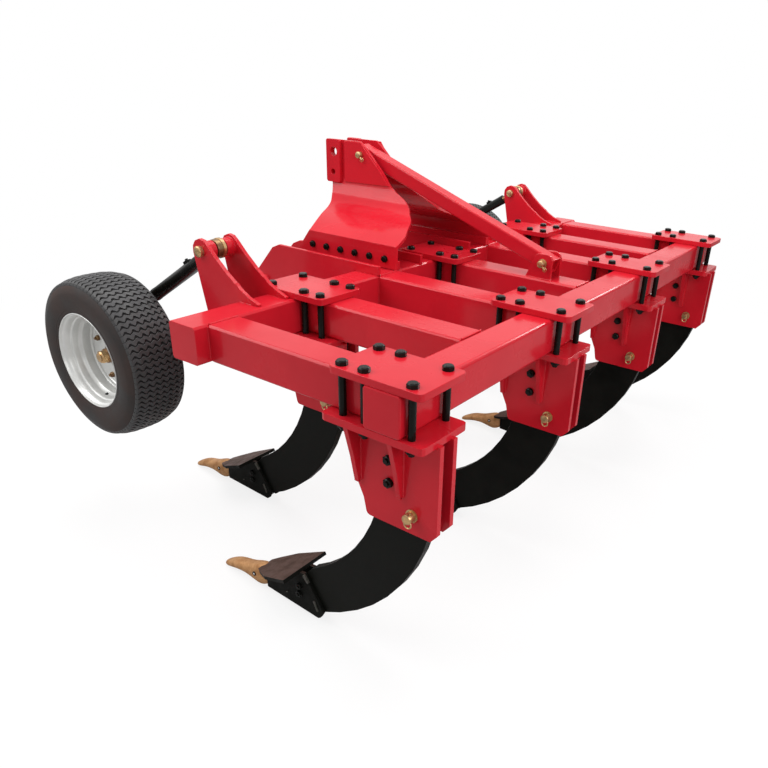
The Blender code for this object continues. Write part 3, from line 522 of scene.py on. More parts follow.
def spread(tree, value, low, high, to_low=0.0, to_high=1.0):
    """Maps a value between two limits to two others, held at the ends."""
    made = put(tree, "ShaderNodeMapRange", {
        "Value": value, "From Min": low, "From Max": high, "To Min": to_low, "To Max": to_high})
    return made.outputs["Result"]


def object_place(tree):
    """Where a point lies in its object's own axes."""
    return put(tree, "ShaderNodeTexCoord").outputs["Object"]


def noise(tree, place, scale, detail, roughness):
    """A cloudy value between 0 and 1."""
    made = put(tree, "ShaderNodeTexNoise", {
        "Vector": place, "Scale": scale, "Detail": detail, "Roughness": roughness})
    return made.outputs["Fac"]


FLOAT = "NodeSocketFloat"
COLOUR = "NodeSocketColor"
GEOMETRY = ("Geometry", "NodeSocketGeometry", None)
MATERIAL = ("Material", "NodeSocketMaterial", None)
SHADING = "ShaderNodeTree"
GROWTH = "GeometryNodeTree"


def new_group(name, kind, inputs, outputs=(GEOMETRY,)):
    """A node group with named sockets from (name, type, default) rows."""
    group = bpy.data.node_groups.new(name, kind)
    for side, rows in (("INPUT", inputs), ("OUTPUT", outputs)):
        for socket_name, socket_type, default in rows:
            made = group.interface.new_socket(socket_name, in_out=side, socket_type=socket_type)
            if default is not None:
                made.default_value = default
    start = group.nodes.new("NodeGroupInput")
    end = group.nodes.new("NodeGroupOutput")
    return group, start.outputs, end.inputs


def made_once(build):
    """The node group that has the function's name, built when there is none."""
    def group():
        return bpy.data.node_groups.get(build.__name__) or build(build.__name__)
    return group


@made_once
def coat_skin(name):
    """Cloudy shading, settled dust and fine grain that every finish shares."""
    tree, given, result = new_group(name, SHADING, (
        ("Colour", COLOUR, (0.5, 0.5, 0.5, 1)),
        ("Second Colour", COLOUR, (0.3, 0.3, 0.3, 1)),
        ("Second Amount", FLOAT, 0.3),
        ("Patch Scale", FLOAT, 6.0),
        ("Dust Colour", COLOUR, (0.30, 0.26, 0.22, 1)),
        ("Dust Amount", FLOAT, 0.05),
        ("Grain Scale", FLOAT, 900.0),
    ), (
        ("Colour", COLOUR, None), ("Mask", FLOAT, None), ("Height", FLOAT, None),
    ))
    place = object_place(tree)
    patch = spread(tree, noise(tree, place, given["Patch Scale"], *PATCH_NOISE), *PATCH_LIMITS)
    tint = times(tree, patch, given["Second Amount"])
    base = mix_colour(tree, tint, given["Colour"], given["Second Colour"])
    speck = noise(tree, place, times(tree, given["Patch Scale"], SPECK_FINENESS), *SPECK_NOISE)
    settled = spread(tree, speck, *SPECK_LIMITS)
    normal = put(tree, "ShaderNodeNewGeometry").outputs["Normal"]
    up = put(tree, "ShaderNodeSeparateXYZ", {"Vector": normal}).outputs["Z"]
    lies = spread(tree, up, *DUST_BY_SLOPE)
    dusty = times(tree, times(tree, settled, lies), given["Dust Amount"])
    fill(tree, result["Colour"], mix_colour(tree, dusty, base, given["Dust Colour"]))
    fill(tree, result["Mask"], maths(tree, "MAXIMUM", times(tree, patch, PATCH_SHARE), dusty))
    fill(tree, result["Height"], noise(tree, place, given["Grain Scale"], *GRAIN_NOISE))
    return tree


@made_once
def steel_scratches(name):
    """Fine scratches that run along the piece, for bare and plated steel."""
    tree, given, result = new_group(name, SHADING, (
        ("Scale", FLOAT, 40.0), ("Stretch", FLOAT, 12.0), ("Amount", FLOAT, 0.4),
    ), (("Mask", FLOAT, None), ("Height", FLOAT, None)))
    factor = put(tree, "ShaderNodeCombineXYZ", {"X": 1.0, "Y": given["Stretch"], "Z": given["Stretch"]})
    longwise = put(tree, "ShaderNodeMapping", {
        "Vector": object_place(tree), "Rotation": SCRATCH_TURN, "Scale": factor.outputs["Vector"]})
    lines = noise(tree, longwise.outputs["Vector"], given["Scale"], *SCRATCH_NOISE)
    fill(tree, result["Mask"], times(tree, spread(tree, lines, *SCRATCH_LIMITS), given["Amount"]))
    fill(tree, result["Height"], lines)
    return tree


def finish_nodes(tree, row):
    """Colour, roughness and normal of one finish in a material's tree."""
    colour = (*(part * row["tint"] for part in getattr(settings(), row["prop"])), 1)
    skin = put(tree, "ShaderNodeGroup", {
        "Colour": colour, "Second Colour": (*row["second"], 1), "Second Amount": row["amount"],
        "Patch Scale": row["patch"], "Dust Amount": row["dust"], "Grain Scale": row["grain"],
    }, node_tree=coat_skin()).outputs
    shown = skin["Colour"]
    if row["scratch"]:
        marks = put(tree, "ShaderNodeGroup", {"Amount": row["scratch"]}, node_tree=steel_scratches())
        bright = mix_colour(tree, 1.0, shown, SCRATCH_LIGHT, "ADD")
        shown = mix_colour(tree, marks.outputs["Mask"], shown, bright)
    rough = spread(tree, skin["Mask"], 0.0, PATCH_SHARE, row["smooth"], row["rough"])
    bump = put(tree, "ShaderNodeBump", {
        "Strength": row["height"], "Distance": GRAIN_DEPTH, "Height": skin["Height"]})
    return shown, rough, bump.outputs["Normal"]


def new_material(name):
    """A new material with its tree and its shader's sockets."""
    made = bpy.data.materials.new(name)
    made.use_nodes = True
    return made, made.node_tree, made.node_tree.nodes["Principled BSDF"].inputs


def finish(name):
    """The material of that name, made once."""
    found = bpy.data.materials.get(name)
    if found:
        return found
    row = FINISHES[name]
    made, tree, shader = new_material(name)
    shown, rough, normal = finish_nodes(tree, row)
    for socket, value in (
        ("Base Color", shown), ("Roughness", rough), ("Normal", normal),
        ("Metallic", row["metallic"]), ("Specular IOR Level", row["gloss"]),
        ("Coat Weight", row["coat"]), ("Coat Roughness", COAT_ROUGHNESS),
    ):
        fill(tree, shader[socket], value)
    made.diffuse_color = (*getattr(settings(), row["prop"]), 1)
    return made


def shoe_finish():
    """Brown steel on top of the wings, black paint on the rest of a shoe."""
    made, tree, shader = new_material("shoe steel and paint")
    steel, rough, normal = finish_nodes(tree, FINISHES[WING])
    black = finish_nodes(tree, FINISHES[BLACK])[0]
    out = put(tree, "ShaderNodeNewGeometry").outputs["Normal"]
    top = (-math.sin(WING_SLOPE), 0.0, math.cos(WING_SLOPE))
    toward = put(tree, "ShaderNodeVectorMath", {0: out, 1: top}, operation="DOT_PRODUCT")
    wing = spread(tree, toward.outputs["Value"], *WING_FACING)
    for socket, value in (
        ("Base Color", mix_colour(tree, wing, black, steel)), ("Roughness", rough), ("Normal", normal),
        ("Specular IOR Level", SHOE_GLOSS),
    ):
        fill(tree, shader[socket], value)
    return made


# Mesh helpers

def turns(count):
    """Angles of equal steps round a full turn."""
    return [2 * math.pi * step / count for step in range(count)]


def skinned(work, rings, around=False):
    """Adds faces between rings of vertices; the ends are closed, or joined to each other."""
    following = rings[1:] + rings[:1] if around else rings[1:]
    for one, two in zip(rings, following):
        for k, corner in enumerate(one):
            after = (k + 1) % len(one)
            work.faces.new((corner, one[after], two[after], two[k]))
    if not around:
        work.faces.new(rings[0])
        work.faces.new(rings[-1])


def spun(work, origin, axis, profile, steps=20):
    """Adds a turned shape from (distance along the axis, radius) rows; ends are closed."""
    axis = Vector(axis).normalized()
    side = axis.orthogonal().normalized()
    other = axis.cross(side)
    rings = []
    for along, radius in profile:
        middle = Vector(origin) + axis * along
        rings.append([
            work.verts.new(middle + side * radius * math.cos(turn) + other * radius * math.sin(turn))
            for turn in turns(steps)])
    skinned(work, rings)


def hoop(work, centre, normal, radius, wire, steps=20, sides=6):
    """Adds a ring of round wire."""
    normal = Vector(normal).normalized()
    side = normal.orthogonal().normalized()
    if abs(normal.z) < 0.9:
        side = normal.cross(Vector((0, 0, 1))).normalized()
    other = normal.cross(side)
    rings = []
    for angle in turns(steps):
        out = side * math.cos(angle) + other * math.sin(angle)
        middle = Vector(centre) + out * radius
        rings.append([
            work.verts.new(middle + (out * math.cos(turn) + normal * math.sin(turn)) * wire)
            for turn in turns(sides)])
    skinned(work, rings, around=True)


def lathe(profile, steps):
    """A closed section of (radius, y) rows, turned about Y."""
    work = bmesh.new()
    skinned(work, [
        [work.verts.new((radius * math.cos(turn), y, radius * math.sin(turn))) for turn in turns(steps)]
        for radius, y in profile], around=True)
    return work


def prism(work, outline, low, high, turn=Matrix.Identity(4)):
    """Adds an outline in XY between two heights, put in place by a matrix."""
    skinned(work, [
        [work.verts.new(turn @ Vector((x, y, level))) for x, y in outline] for level in (low, high)])


def rounded_box(x0, x1, y0, y1, radius, steps=5):
    """A box outline with round corners, anticlockwise."""
    outline = []
    for x, y, first in (
        (x1 - radius, y1 - radius, 0), (x0 + radius, y1 - radius, 90),
        (x0 + radius, y0 + radius, 180), (x1 - radius, y0 + radius, 270),
    ):
        for step in range(steps + 1):
            angle = math.radians(first + 90 * step / steps)
            outline.append((x + radius * math.cos(angle), y + radius * math.sin(angle)))
    return outline


def from_work(name, work):
    """A bmesh turned into mesh data with its faces pointing out."""
    bmesh.ops.recalc_face_normals(work, faces=work.faces)
    mesh = bpy.data.meshes.new(name)
    work.to_mesh(mesh)
    work.free()
    return mesh


def loose(name, data):
    """An object in the scene that rides on nothing yet."""
    obj = bpy.data.objects.new(name, data)
    bpy.context.scene.collection.objects.link(obj)
    return obj


def settled_mesh(obj, *tools):
    """The object's mesh after its modifiers; the object and its tools are removed."""
    graph = bpy.context.evaluated_depsgraph_get()
    mesh = bpy.data.meshes.new_from_object(obj.evaluated_get(graph))
    for spent in (*tools, obj):
        bpy.data.objects.remove(spent, do_unlink=True)
    return mesh


def placed(name, form, look, body="frame", sharp=35, replaced=()):
    """A bmesh or mesh as a named piece that rides on a body, with its finish as its material."""
    mesh = from_work(name, form) if isinstance(form, bmesh.types.BMesh) else form
    mesh.materials.clear()
    mesh.materials.append(finish(look))
    mesh.shade_smooth()
    mesh.set_sharp_from_angle(angle=math.radians(sharp))
    obj = loose(name, mesh)
    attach(obj, body)
    if replaced:
        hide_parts(*replaced)
    return obj


def turned(name, body, look, rows, sharp=35):
    """A piece of turned shapes from (origin, axis, profile, steps) rows."""
    work = bmesh.new()
    for row in rows:
        spun(work, *row)
    placed(name, work, look, body, sharp)


def bevelled(obj, width, angle):
    """Rounds edges that are sharper than an angle in degrees."""
    edge = obj.modifiers.new("soft_edge", "BEVEL")
    edge.width = width
    edge.segments = 2
    edge.limit_method = "ANGLE"
    edge.angle_limit = math.radians(angle)
    return edge


def rounded(obj, width, angle):
    """Rounds a made piece's edges and keeps its flat faces looking flat."""
    bevelled(obj, width, angle).harden_normals = True


def dress(prefix, material, width=0.0, angle=0):
    """Paints every CAD node whose name starts so and rounds its edges; its mesh isn't changed."""
    found = [obj for name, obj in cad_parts.items() if name.startswith(prefix)]
    if not found:
        raise RuntimeError("no node starts with " + prefix)
    for obj in found:
        obj.data.materials.clear()
        obj.data.materials.append(material)
        if width:
            obj.modifiers.new("joined", "WELD").merge_threshold = JOIN_REACH
            bevelled(obj, width, angle).miter_outer = "MITER_ARC"


def grown(name, seed_mesh, tree, values, look, body="frame", sharp=20):
    """Runs a node tree on a seed mesh and keeps the result as one plain mesh."""
    seed = loose(name + "_seed", seed_mesh)
    growth = seed.modifiers.new("growth", "NODES")
    growth.node_group = tree
    values = dict(values, Material=finish(look))
    for item in tree.interface.items_tree:
        if item.item_type == "SOCKET" and item.in_out == "INPUT" and item.name in values:
            growth[item.identifier] = values[item.name]
    mesh = settled_mesh(seed)
    if not mesh.polygons:
        raise RuntimeError(name + " came out empty")
    return placed(name, mesh, look, body, sharp)


def seed_points(places):
    """Loose points with the direction in which each fastener stands."""
    mesh = bpy.data.meshes.new("seed_points")
    mesh.from_pydata([tuple(place) for place, axis in places], [], [])
    axes = mesh.attributes.new("axis", "FLOAT_VECTOR", "POINT")
    for item, (place, axis) in zip(axes.data, places):
        item.vector = axis
    return mesh


def seed_paths(paths):
    """Chains of edges along which weld beads run."""
    points = []
    edges = []
    for path in paths:
        first = len(points)
        points += [tuple(place) for place in path]
        edges += [(first + k, first + k + 1) for k in range(len(path) - 1)]
    mesh = bpy.data.meshes.new("seed_paths")
    mesh.from_pydata(points, edges, [])
    return mesh


# Node trees for what repeats

def finished_tree(tree, geometry, given, result):
    """Ends a tree in real geometry with its material."""
    real = put(tree, "GeometryNodeRealizeInstances", {"Geometry": geometry})
    coat = put(tree, "GeometryNodeSetMaterial", {
        "Geometry": real.outputs["Geometry"], "Material": given["Material"]})
    fill(tree, result["Geometry"], coat.outputs["Geometry"])
    return tree


@made_once
def hex_fasteners(name):
    """A chamfered hexagon with its washer and thread end, on every seed point."""
    tree, given, result = new_group(name, GROWTH, (
        GEOMETRY, ("Head Width", FLOAT, 0.027), ("Head Height", FLOAT, 0.010),
        ("Washer Width", FLOAT, 0.032), ("Washer Height", FLOAT, 0.002),
        ("Thread Width", FLOAT, 0.016), ("Thread Length", FLOAT, 0.001),
        ("Seed", "NodeSocketInt", 3), MATERIAL,
    ))
    width = given["Head Width"]
    height = given["Head Height"]
    low = given["Washer Height"]
    chamfer = times(tree, height, HEAD_CHAMFER)
    flats = maths(tree, "SUBTRACT", height, chamfer)
    top = maths(tree, "ADD", low, flats)
    end = maths(tree, "ADD", top, chamfer)
    parts = []
    for solid, sides, start, depth, radii in (
        ("Cylinder", 20, 0.0, low, {"Radius": times(tree, given["Washer Width"], 0.5)}),
        ("Cylinder", 6, low, flats, {"Radius": times(tree, width, HEX_CORNER)}),
        ("Cone", 18, top, chamfer, {
            "Radius Top": times(tree, width, HEAD_ROUND[0]),
            "Radius Bottom": times(tree, width, HEAD_ROUND[1])}),
        ("Cylinder", 14, end, given["Thread Length"], {"Radius": times(tree, given["Thread Width"], 0.5)}),
    ):
        made = put(tree, "GeometryNodeMesh" + solid, {"Vertices": sides, "Depth": depth, **radii})
        if solid == "Cylinder":
            start = maths(tree, "ADD", start, times(tree, depth, 0.5))
        move = put(tree, "ShaderNodeCombineXYZ", {"Z": start})
        shifted = put(tree, "GeometryNodeTransform", {
            "Geometry": made.outputs["Mesh"], "Translation": move.outputs["Vector"]})
        parts.append(shifted.outputs["Geometry"])
    joined = tree.nodes.new("GeometryNodeJoinGeometry")
    for part in reversed(parts):
        tree.links.new(part, joined.inputs["Geometry"])
    axis = put(tree, "GeometryNodeInputNamedAttribute", {"Name": "axis"}, data_type="FLOAT_VECTOR")
    stand = put(tree, "FunctionNodeAlignRotationToVector", {"Vector": axis.outputs["Attribute"]}, axis="Z")
    turn = put(tree, "FunctionNodeRandomValue", {
        "Seed": given["Seed"], 2: 0.0, 3: HEAD_TURN}, data_type="FLOAT")
    about = put(tree, "FunctionNodeAxisAngleToRotation", {"Axis": (0, 0, 1), "Angle": turn.outputs[1]})
    both = put(tree, "FunctionNodeRotateRotation", {
        "Rotation": stand.outputs["Rotation"], "Rotate By": about.outputs["Rotation"],
    }, rotation_space="LOCAL")
    points = put(tree, "GeometryNodeMeshToPoints", {"Mesh": given["Geometry"]})
    spots = put(tree, "GeometryNodeInstanceOnPoints", {
        "Points": points.outputs["Points"], "Instance": joined.outputs["Geometry"],
        "Rotation": both.outputs["Rotation"]})
    return finished_tree(tree, spots.outputs["Instances"], given, result)


@made_once
def weld_beads(name):
    """A rippled bead along every seed path."""
    tree, given, result = new_group(name, GROWTH, (
        GEOMETRY, ("Bead Radius", FLOAT, 0.003), ("Ripple Spacing", FLOAT, 0.006),
        ("Ripple Depth", FLOAT, 0.15), MATERIAL,
    ))
    curve = put(tree, "GeometryNodeMeshToCurve", {"Mesh": given["Geometry"]})
    even = put(tree, "GeometryNodeResampleCurve", {
        "Curve": curve.outputs["Curve"], "Length": given["Ripple Spacing"]}, mode="LENGTH")
    index = tree.nodes.new("GeometryNodeInputIndex").outputs["Index"]
    wave = times(tree, maths(tree, "MODULO", index, 2.0), given["Ripple Depth"])
    ring = put(tree, "GeometryNodeCurvePrimitiveCircle", {"Resolution": 7, "Radius": given["Bead Radius"]})
    bead = put(tree, "GeometryNodeCurveToMesh", {
        "Curve": even.outputs["Curve"], "Profile Curve": ring.outputs["Curve"],
        "Scale": maths(tree, "SUBTRACT", 1.0, wave), "Fill Caps": True})
    return finished_tree(tree, bead.outputs["Mesh"], given, result)


@made_once
def turf_tread(name):
    """Sets a tyre's tread rib evenly round the axle."""
    tree, given, result = new_group(name, GROWTH, (GEOMETRY, ("Ribs", "NodeSocketInt", 84), MATERIAL))
    points = put(tree, "GeometryNodePoints", {"Count": given["Ribs"]})
    index = tree.nodes.new("GeometryNodeInputIndex").outputs["Index"]
    angle = times(tree, maths(tree, "DIVIDE", index, given["Ribs"]), 2 * math.pi)
    about = put(tree, "FunctionNodeAxisAngleToRotation", {"Axis": (0, 1, 0), "Angle": angle})
    spots = put(tree, "GeometryNodeInstanceOnPoints", {
        "Points": points.outputs[0], "Instance": given["Geometry"], "Rotation": about.outputs["Rotation"]})
    return finished_tree(tree, spots.outputs["Instances"], given, result)


def fasten(kind, places, look, body="frame", side="", sharp=20):
    """Stands a bolt or nut of that kind on every (place, direction)."""
    values = dict(FASTENERS[kind])
    if kind.startswith("clamp_"):
        for field in ("Head Width", "Washer Width", "Thread Width"):
            values[field] *= settings().head_width / CLAMP_HEAD
    grown(kind + side, seed_points(places), hex_fasteners(), values, look, body, sharp)


# Steps

class SUBSOILER_OT_frame(bpy.types.Operator):
    """Paints the beams, rails, brackets, hitch, brace and wheel arms, and rounds their edges"""

    bl_idname = "subsoiler.frame"
    bl_label = "Paint the frame"

    def execute(self, context):
        for prefix, share, angle in CAD_EDGES:
            dress(prefix, finish(RED), settings().edge_round * share, angle)
        return {"FINISHED"}


class SUBSOILER_OT_clamps(bpy.types.Operator):
    """Lays the clamp plates and fits the black bolts of clamps, brackets and mast"""

    bl_idname = "subsoiler.clamps"
    bl_label = "Fit the clamps and bolts"

    def execute(self, context):
        plates = bmesh.new()
        rods = bmesh.new()
        heads = []
        nuts = []
        cheek_heads = []
        for number in NUMBERS:
            row = row_of(number)
            y = rail_y(number)
            low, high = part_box("clamp_%d" % number)
            outline = rounded_box(low.x, high.x, low.y, high.y, PLATE_CORNER)
            prism(plates, outline, DATUM.z + PLATE_SEAT, DATUM.z + PLATE_TOP)
            for x in BOLT_ROWS[row]:
                for side in BOTH:
                    place = at(x, y + side * BOLT_HALF_SPREAD, 0)
                    spun(rods, place, (0, 0, -1), CLAMP_ROD, 16)
                    heads.append((place + Vector((0, 0, PLATE_TOP - PLATE_SEAT)), (0, 0, 1)))
                    nuts.append((place + Vector((0, 0, PLATE_LOW + SINK)), (0, 0, -1)))
            for x, z in CHEEK_BOLTS:
                for side in BOTH:
                    spot = at(HUNG_MIDDLES[row] + x, y + side * (CHEEK_FACE - SINK), z)
                    cheek_heads.append((spot, (0, side, 0)))
        clamps = ["clamp_%d" % number for number in NUMBERS]
        rounded(placed("clamp_plates", plates, RED, replaced=clamps), *CLAMP_EDGE)
        placed("clamp_rods", rods, OXIDE)
        fasten("clamp_bolt_heads", heads, OXIDE)
        fasten("clamp_nuts", nuts, OXIDE)
        fasten("bracket_bolts", cheek_heads, OXIDE)
        fasten("mast_bolts", [
            (at(x, side * (MAST_FLANGE - SINK), MAST_BOLT_Z), (0, side, 0))
            for x in MAST_BOLTS_X for side in BOTH], OXIDE)
        return {"FINISHED"}


def smooth_value(a, b, c, d, t):
    """A value between b and c on the smooth curve through a, b, c and d."""
    square = (2 * a - 5 * b + 4 * c - d) * t * t
    cube = (3 * b - a - 3 * c + d) * t ** 3
    return 0.5 * (2 * b + (c - a) * t + square + cube)


def mast_rows():
    """The bent plate's rows, filled in along a smooth line down to the flange."""
    bend = MAST_PROFILE[:-1]
    held = (bend[0], *bend, bend[-1])
    rows = [
        tuple(smooth_value(*values, step / MAST_STEPS) for values in zip(*held[k:k + 4]))
        for k in range(len(bend) - 1) for step in range(MAST_STEPS)]
    return [*rows, bend[-1], MAST_PROFILE[-1]]


def bent_plate():
    """The mast's plate as a sheet with an even wall."""
    work = bmesh.new()
    grid = [[
        work.verts.new((front + (rear - front) * k / MAST_COLUMNS, out, height))
        for k in range(MAST_COLUMNS + 1)] for out, height, front, rear in mast_rows()]
    for one, two in zip(grid, grid[1:]):
        for k in range(MAST_COLUMNS):
            work.faces.new((one[k], two[k], two[k + 1], one[k + 1]))
    sheet = loose("sheet", from_work("sheet", work))
    wall = sheet.modifiers.new("wall", "SOLIDIFY")
    wall.thickness = MAST_THICKNESS
    wall.offset = 0
    wall.use_even_offset = True
    return settled_mesh(sheet)


def flat_plate(outline, faces):
    """A plate whose outline is in X and Z."""
    work = bmesh.new()
    prism(work, outline, *faces, UPRIGHT)
    return from_work("plate", work)


def drilled(mesh, holes):
    """The mesh with round holes along Y from (x, z, radius) rows."""
    cutter = bmesh.new()
    for x, z, radius in holes:
        spun(cutter, (x, -DRILL_REACH, z), (0, 1, 0), ((0, radius), (2 * DRILL_REACH, radius)))
    drill = loose("drill", from_work("drill", cutter))
    blank = loose("blank", mesh)
    cut = blank.modifiers.new("drill", "BOOLEAN")
    cut.object = drill
    cut.solver = "EXACT"
    return settled_mesh(blank, drill)


class SUBSOILER_OT_mast(bpy.types.Operator):
    """Bends the two mast plates and stands the lug and stiffening plates on them"""

    bl_idname = "subsoiler.mast"
    bl_label = "Bend the mast"

    def execute(self, context):
        lug = rounded_box(*MAST_LUG, MAST_LUG_CORNER)
        for name, side in (("left", -1), ("right", 1)):
            mirror = Matrix.Translation(DATUM) @ Matrix.Scale(side, 4, (0, 1, 0))
            for kind, form, holes, edge, replaced in (
                ("mast_plate_", bent_plate(), (MAST_PIN_HOLE, *MAST_LUG_HOLES), MAST_EDGE,
                 ("mast_" + name,)),
                ("mast_lug_", flat_plate(lug, MAST_LUG_FACES), MAST_LUG_HOLES, STIFFENER_EDGE, ()),
                ("mast_doubler_", flat_plate(MAST_DOUBLER, MAST_DOUBLER_FACES), (MAST_PIN_HOLE,),
                 STIFFENER_EDGE, ()),
            ):
                plate = drilled(form, holes)
                plate.transform(mirror)
                if side < 0:
                    plate.flip_normals()
                rounded(placed(kind + name, plate, RED, sharp=40, replaced=replaced), *edge)
        return {"FINISHED"}


def pin_end(work, spot, side, kind):
    """A plated pin's rounded end, with the ring of its spring pin when it has one."""
    radius, reach, ring, drop = PIN_ENDS[kind]
    axis = Vector((0, side, 0))
    spun(work, spot, axis, [(share * reach + more, radius * wide) for share, more, wide in PIN_PROFILE], 24)
    if ring:
        through = spot + axis * (reach * SPRING_PIN_AT)
        spun(work, through - SPRING_PIN_LEAN * radius * SPRING_PIN_BACK, SPRING_PIN_LEAN,
             ((0, SPRING_PIN), (radius * SPRING_PIN_LENGTH, SPRING_PIN)), 10)
        hung = through + Vector((0, 0, -drop)) + axis * RING_OUT
        hoop(work, hung, axis, ring, ring * RING_WIRE, 24, 7)


def keeper(work, spot, side):
    """A short rod across a pin's end, as a spring pin lies."""
    spun(work, spot - KEEPER_LEAN * KEEPER * KEEPER_BACK, KEEPER_LEAN, KEEPER_PROFILE, 12)
    hoop(work, spot + KEEPER_LEAN * KEEPER * KEEPER_RING_AT, (0, side, 0), *KEEPER_RING)


class SUBSOILER_OT_pins(bpy.types.Operator):
    """Fits the plated pins of the brackets, the brace, the hitch and the wheel ears"""

    bl_idname = "subsoiler.pins"
    bl_label = "Fit the pins"

    def execute(self, context):
        pins = bmesh.new()
        bosses = bmesh.new()
        toes = bmesh.new()
        for number in NUMBERS:
            x = HUNG_MIDDLES[row_of(number)] + CHEEK_PIN[0]
            for side in BOTH:
                pin_end(pins, at(x, rail_y(number) + side * CHEEK_FACE, CHEEK_PIN[1]), side, "cheek")
        for (x, z), reach in ((MAST_PIN, MAST_PIN_REACH), (BRACE_REAR_PIN, BRACE_PIN_REACH)):
            for side in BOTH:
                pin_end(pins, at(x, side * (reach - BRACE_PIN_ROOT), z), side, "brace")
                keeper(pins, at(x, side * (reach + KEEPER_OUT), z), side)
        for side in BOTH:
            pin_end(pins, at(LINK_PIN[0], side * (LINK_FACE + LINK_PIN_ROOT), LINK_PIN[1]), -side, "link")
        for wheel in WHEELS.values():
            for x, z in (EAR_PIN, ARM_PIVOT):
                for side in BOTH:
                    spun(pins, at(x, wheel.arm_y + side * EAR_REACH, z), (0, side, 0), EAR_CAP, 28)
            for side in BOTH:
                seat = at(EAR_PIN[0], wheel.arm_y + side * EAR_FACES[0], EAR_PIN[1])
                spun(bosses, seat, (0, -side, 0), EAR_BOSS, 28)
                low, high = sorted(side * face for face in EAR_FACES)
                prism(toes, EAR_TOE, low, high, Matrix.Translation(at(0, wheel.arm_y, 0)) @ UPRIGHT)
        placed("plated_pins", pins, ZINC)
        placed("ear_bosses", bosses, RED, sharp=40)
        rounded(placed("ear_toes", toes, RED), *SMALL_EDGE)
        return {"FINISHED"}


class SUBSOILER_OT_shanks(bpy.types.Operator):
    """Paints the curved shanks black and rounds their edges"""

    bl_idname = "subsoiler.shanks"
    bl_label = "Paint the shanks"

    def execute(self, context):
        dress("shank_", finish(BLACK), *SHANK_EDGE)
        return {"FINISHED"}


def point_ring(ahead, share, low, high):
    """One rounded section of a cast point, from its bottom round to its bottom again."""
    middle = (low + high) / 2
    half = (high - low) / 2
    ring = []
    for angle in turns(POINT_SIDES):
        across = math.copysign(abs(math.sin(angle)) ** POINT_SQUARENESS, math.sin(angle))
        upward = math.copysign(abs(math.cos(angle)) ** POINT_SQUARENESS, -math.cos(angle))
        narrow = 1 - POINT_TAPER * max(upward, 0)
        ring.append(Vector((-ahead, across * POINT_HALF * share * narrow, middle + half * upward)))
    return ring


class SUBSOILER_OT_points(bpy.types.Operator):
    """Finishes the winged shoes and makes their cast points"""

    bl_idname = "subsoiler.points"
    bl_label = "Finish the shoes and points"

    def execute(self, context):
        dress("shoe_", shoe_finish(), *SHOE_EDGE)
        pins = bmesh.new()
        pocket_shades = bmesh.new()
        bars = bmesh.new()
        bolts = []
        for number in NUMBERS:
            toe = at(HUNG_MIDDLES[row_of(number)] + SHANK_TOE[0], rail_y(number), SHANK_TOE[1])
            cast = bmesh.new()
            seat = Matrix.Translation(toe + SHOE_NOSE)
            sections = [point_ring(*row) for row in POINT_STATIONS]
            skinned(cast, [[cast.verts.new(seat @ spot) for spot in section] for section in sections])
            point = placed("cast_point_%d" % number, cast, BRONZE, sharp=180, replaced=("tip_%d" % number,))
            smooth = point.modifiers.new("cast_skin", "SUBSURF")
            smooth.levels = 2
            smooth.render_levels = 2
            for side in BOTH:
                x, z = POINT_PIN_PLACE
                spot = toe + Vector((x, side * POINT_PIN_FACE, z))
                spun(pins, spot, (0, side, 0), POINT_PIN, 14)
                # black ring: painted shade round the pin
                hoop(pocket_shades, spot, (0, side, 0), *POINT_POCKET_SHADE)
                for x, z in SHOE_BOLTS:
                    bolts.append((toe + Vector((x, side * (SHOE_FACE - SINK), z)), (0, side, 0)))
                # light grey bars as painted highlights on the cheek's edges
                for (x, z), (long, wide), lean in SHOE_HIGHLIGHT_BARS:
                    place = Matrix.Translation(toe + Vector((x, side * SHOE_FACE, z)))
                    turn = Matrix.Rotation(math.radians(lean), 4, "Y") @ Matrix.Rotation(math.pi / 2, 4, "X")
                    outline = rounded_box(-long / 2, long / 2, -wide / 2, wide / 2, wide * BAR_CORNER, 3)
                    prism(bars, outline, -BAR_HEIGHT, BAR_HEIGHT, place @ turn)
        placed("point_pins", pins, SILVER)
        # the black rings are painted shade round the point pins
        placed("point_pockets", pocket_shades, OXIDE)
        fasten("shoe_bolts", bolts, OXIDE)
        # the cheek bars in a light grey finish: painted highlights
        rounded(placed("shoe_bars", bars, PAINTED_HIGHLIGHT_GREY), *SMALL_EDGE)
        return {"FINISHED"}


class SUBSOILER_OT_welds(bpy.types.Operator):
    """Runs weld beads where the frame's plates and tubes meet"""

    bl_idname = "subsoiler.welds"
    bl_label = "Weld the frame"

    def execute(self, context):
        paths = []
        half = TUBE / 2
        for number in NUMBERS:
            y = rail_y(number)
            row = row_of(number)
            for end, x in RAIL_ENDS.items():
                for side in BOTH:
                    face = y + side * half
                    paths.append([at(x, face, -WELD_INSET), at(x, face, -TUBE + WELD_INSET)])
                if end != row:
                    paths.append([at(x, y - half + WELD_INSET, 0), at(x, y + half - WELD_INSET, 0)])
            middle = HUNG_MIDDLES[row]
            for side in BOTH:
                face = y + side * CHEEK_FACE
                toe = face + side * RIB_TOE[0]
                paths.append([at(middle + end, face, PLATE_LOW) for end in CHEEK_ENDS])
                for rib in RIB_PLACES[row]:
                    edges = (rib - RIB_HALF, rib + RIB_HALF)
                    for edge in edges:
                        paths.append([at(edge, face, RIB_HEAD), at(edge, face, RIB_FOOT)])
                    paths.append([at(edge, toe, RIB_TOE[1]) for edge in edges])
        values = dict(WELD_RIPPLES, **{"Bead Radius": settings().bead_radius})
        grown("weld_beads", seed_paths(paths), weld_beads(), values, RED, sharp=60)
        return {"FINISHED"}


def crown(y, radius):
    """Carcass radius at a place across the tread."""
    return radius - CROWN_DROP * (abs(y) / TREAD_HALF) ** CROWN_POWER


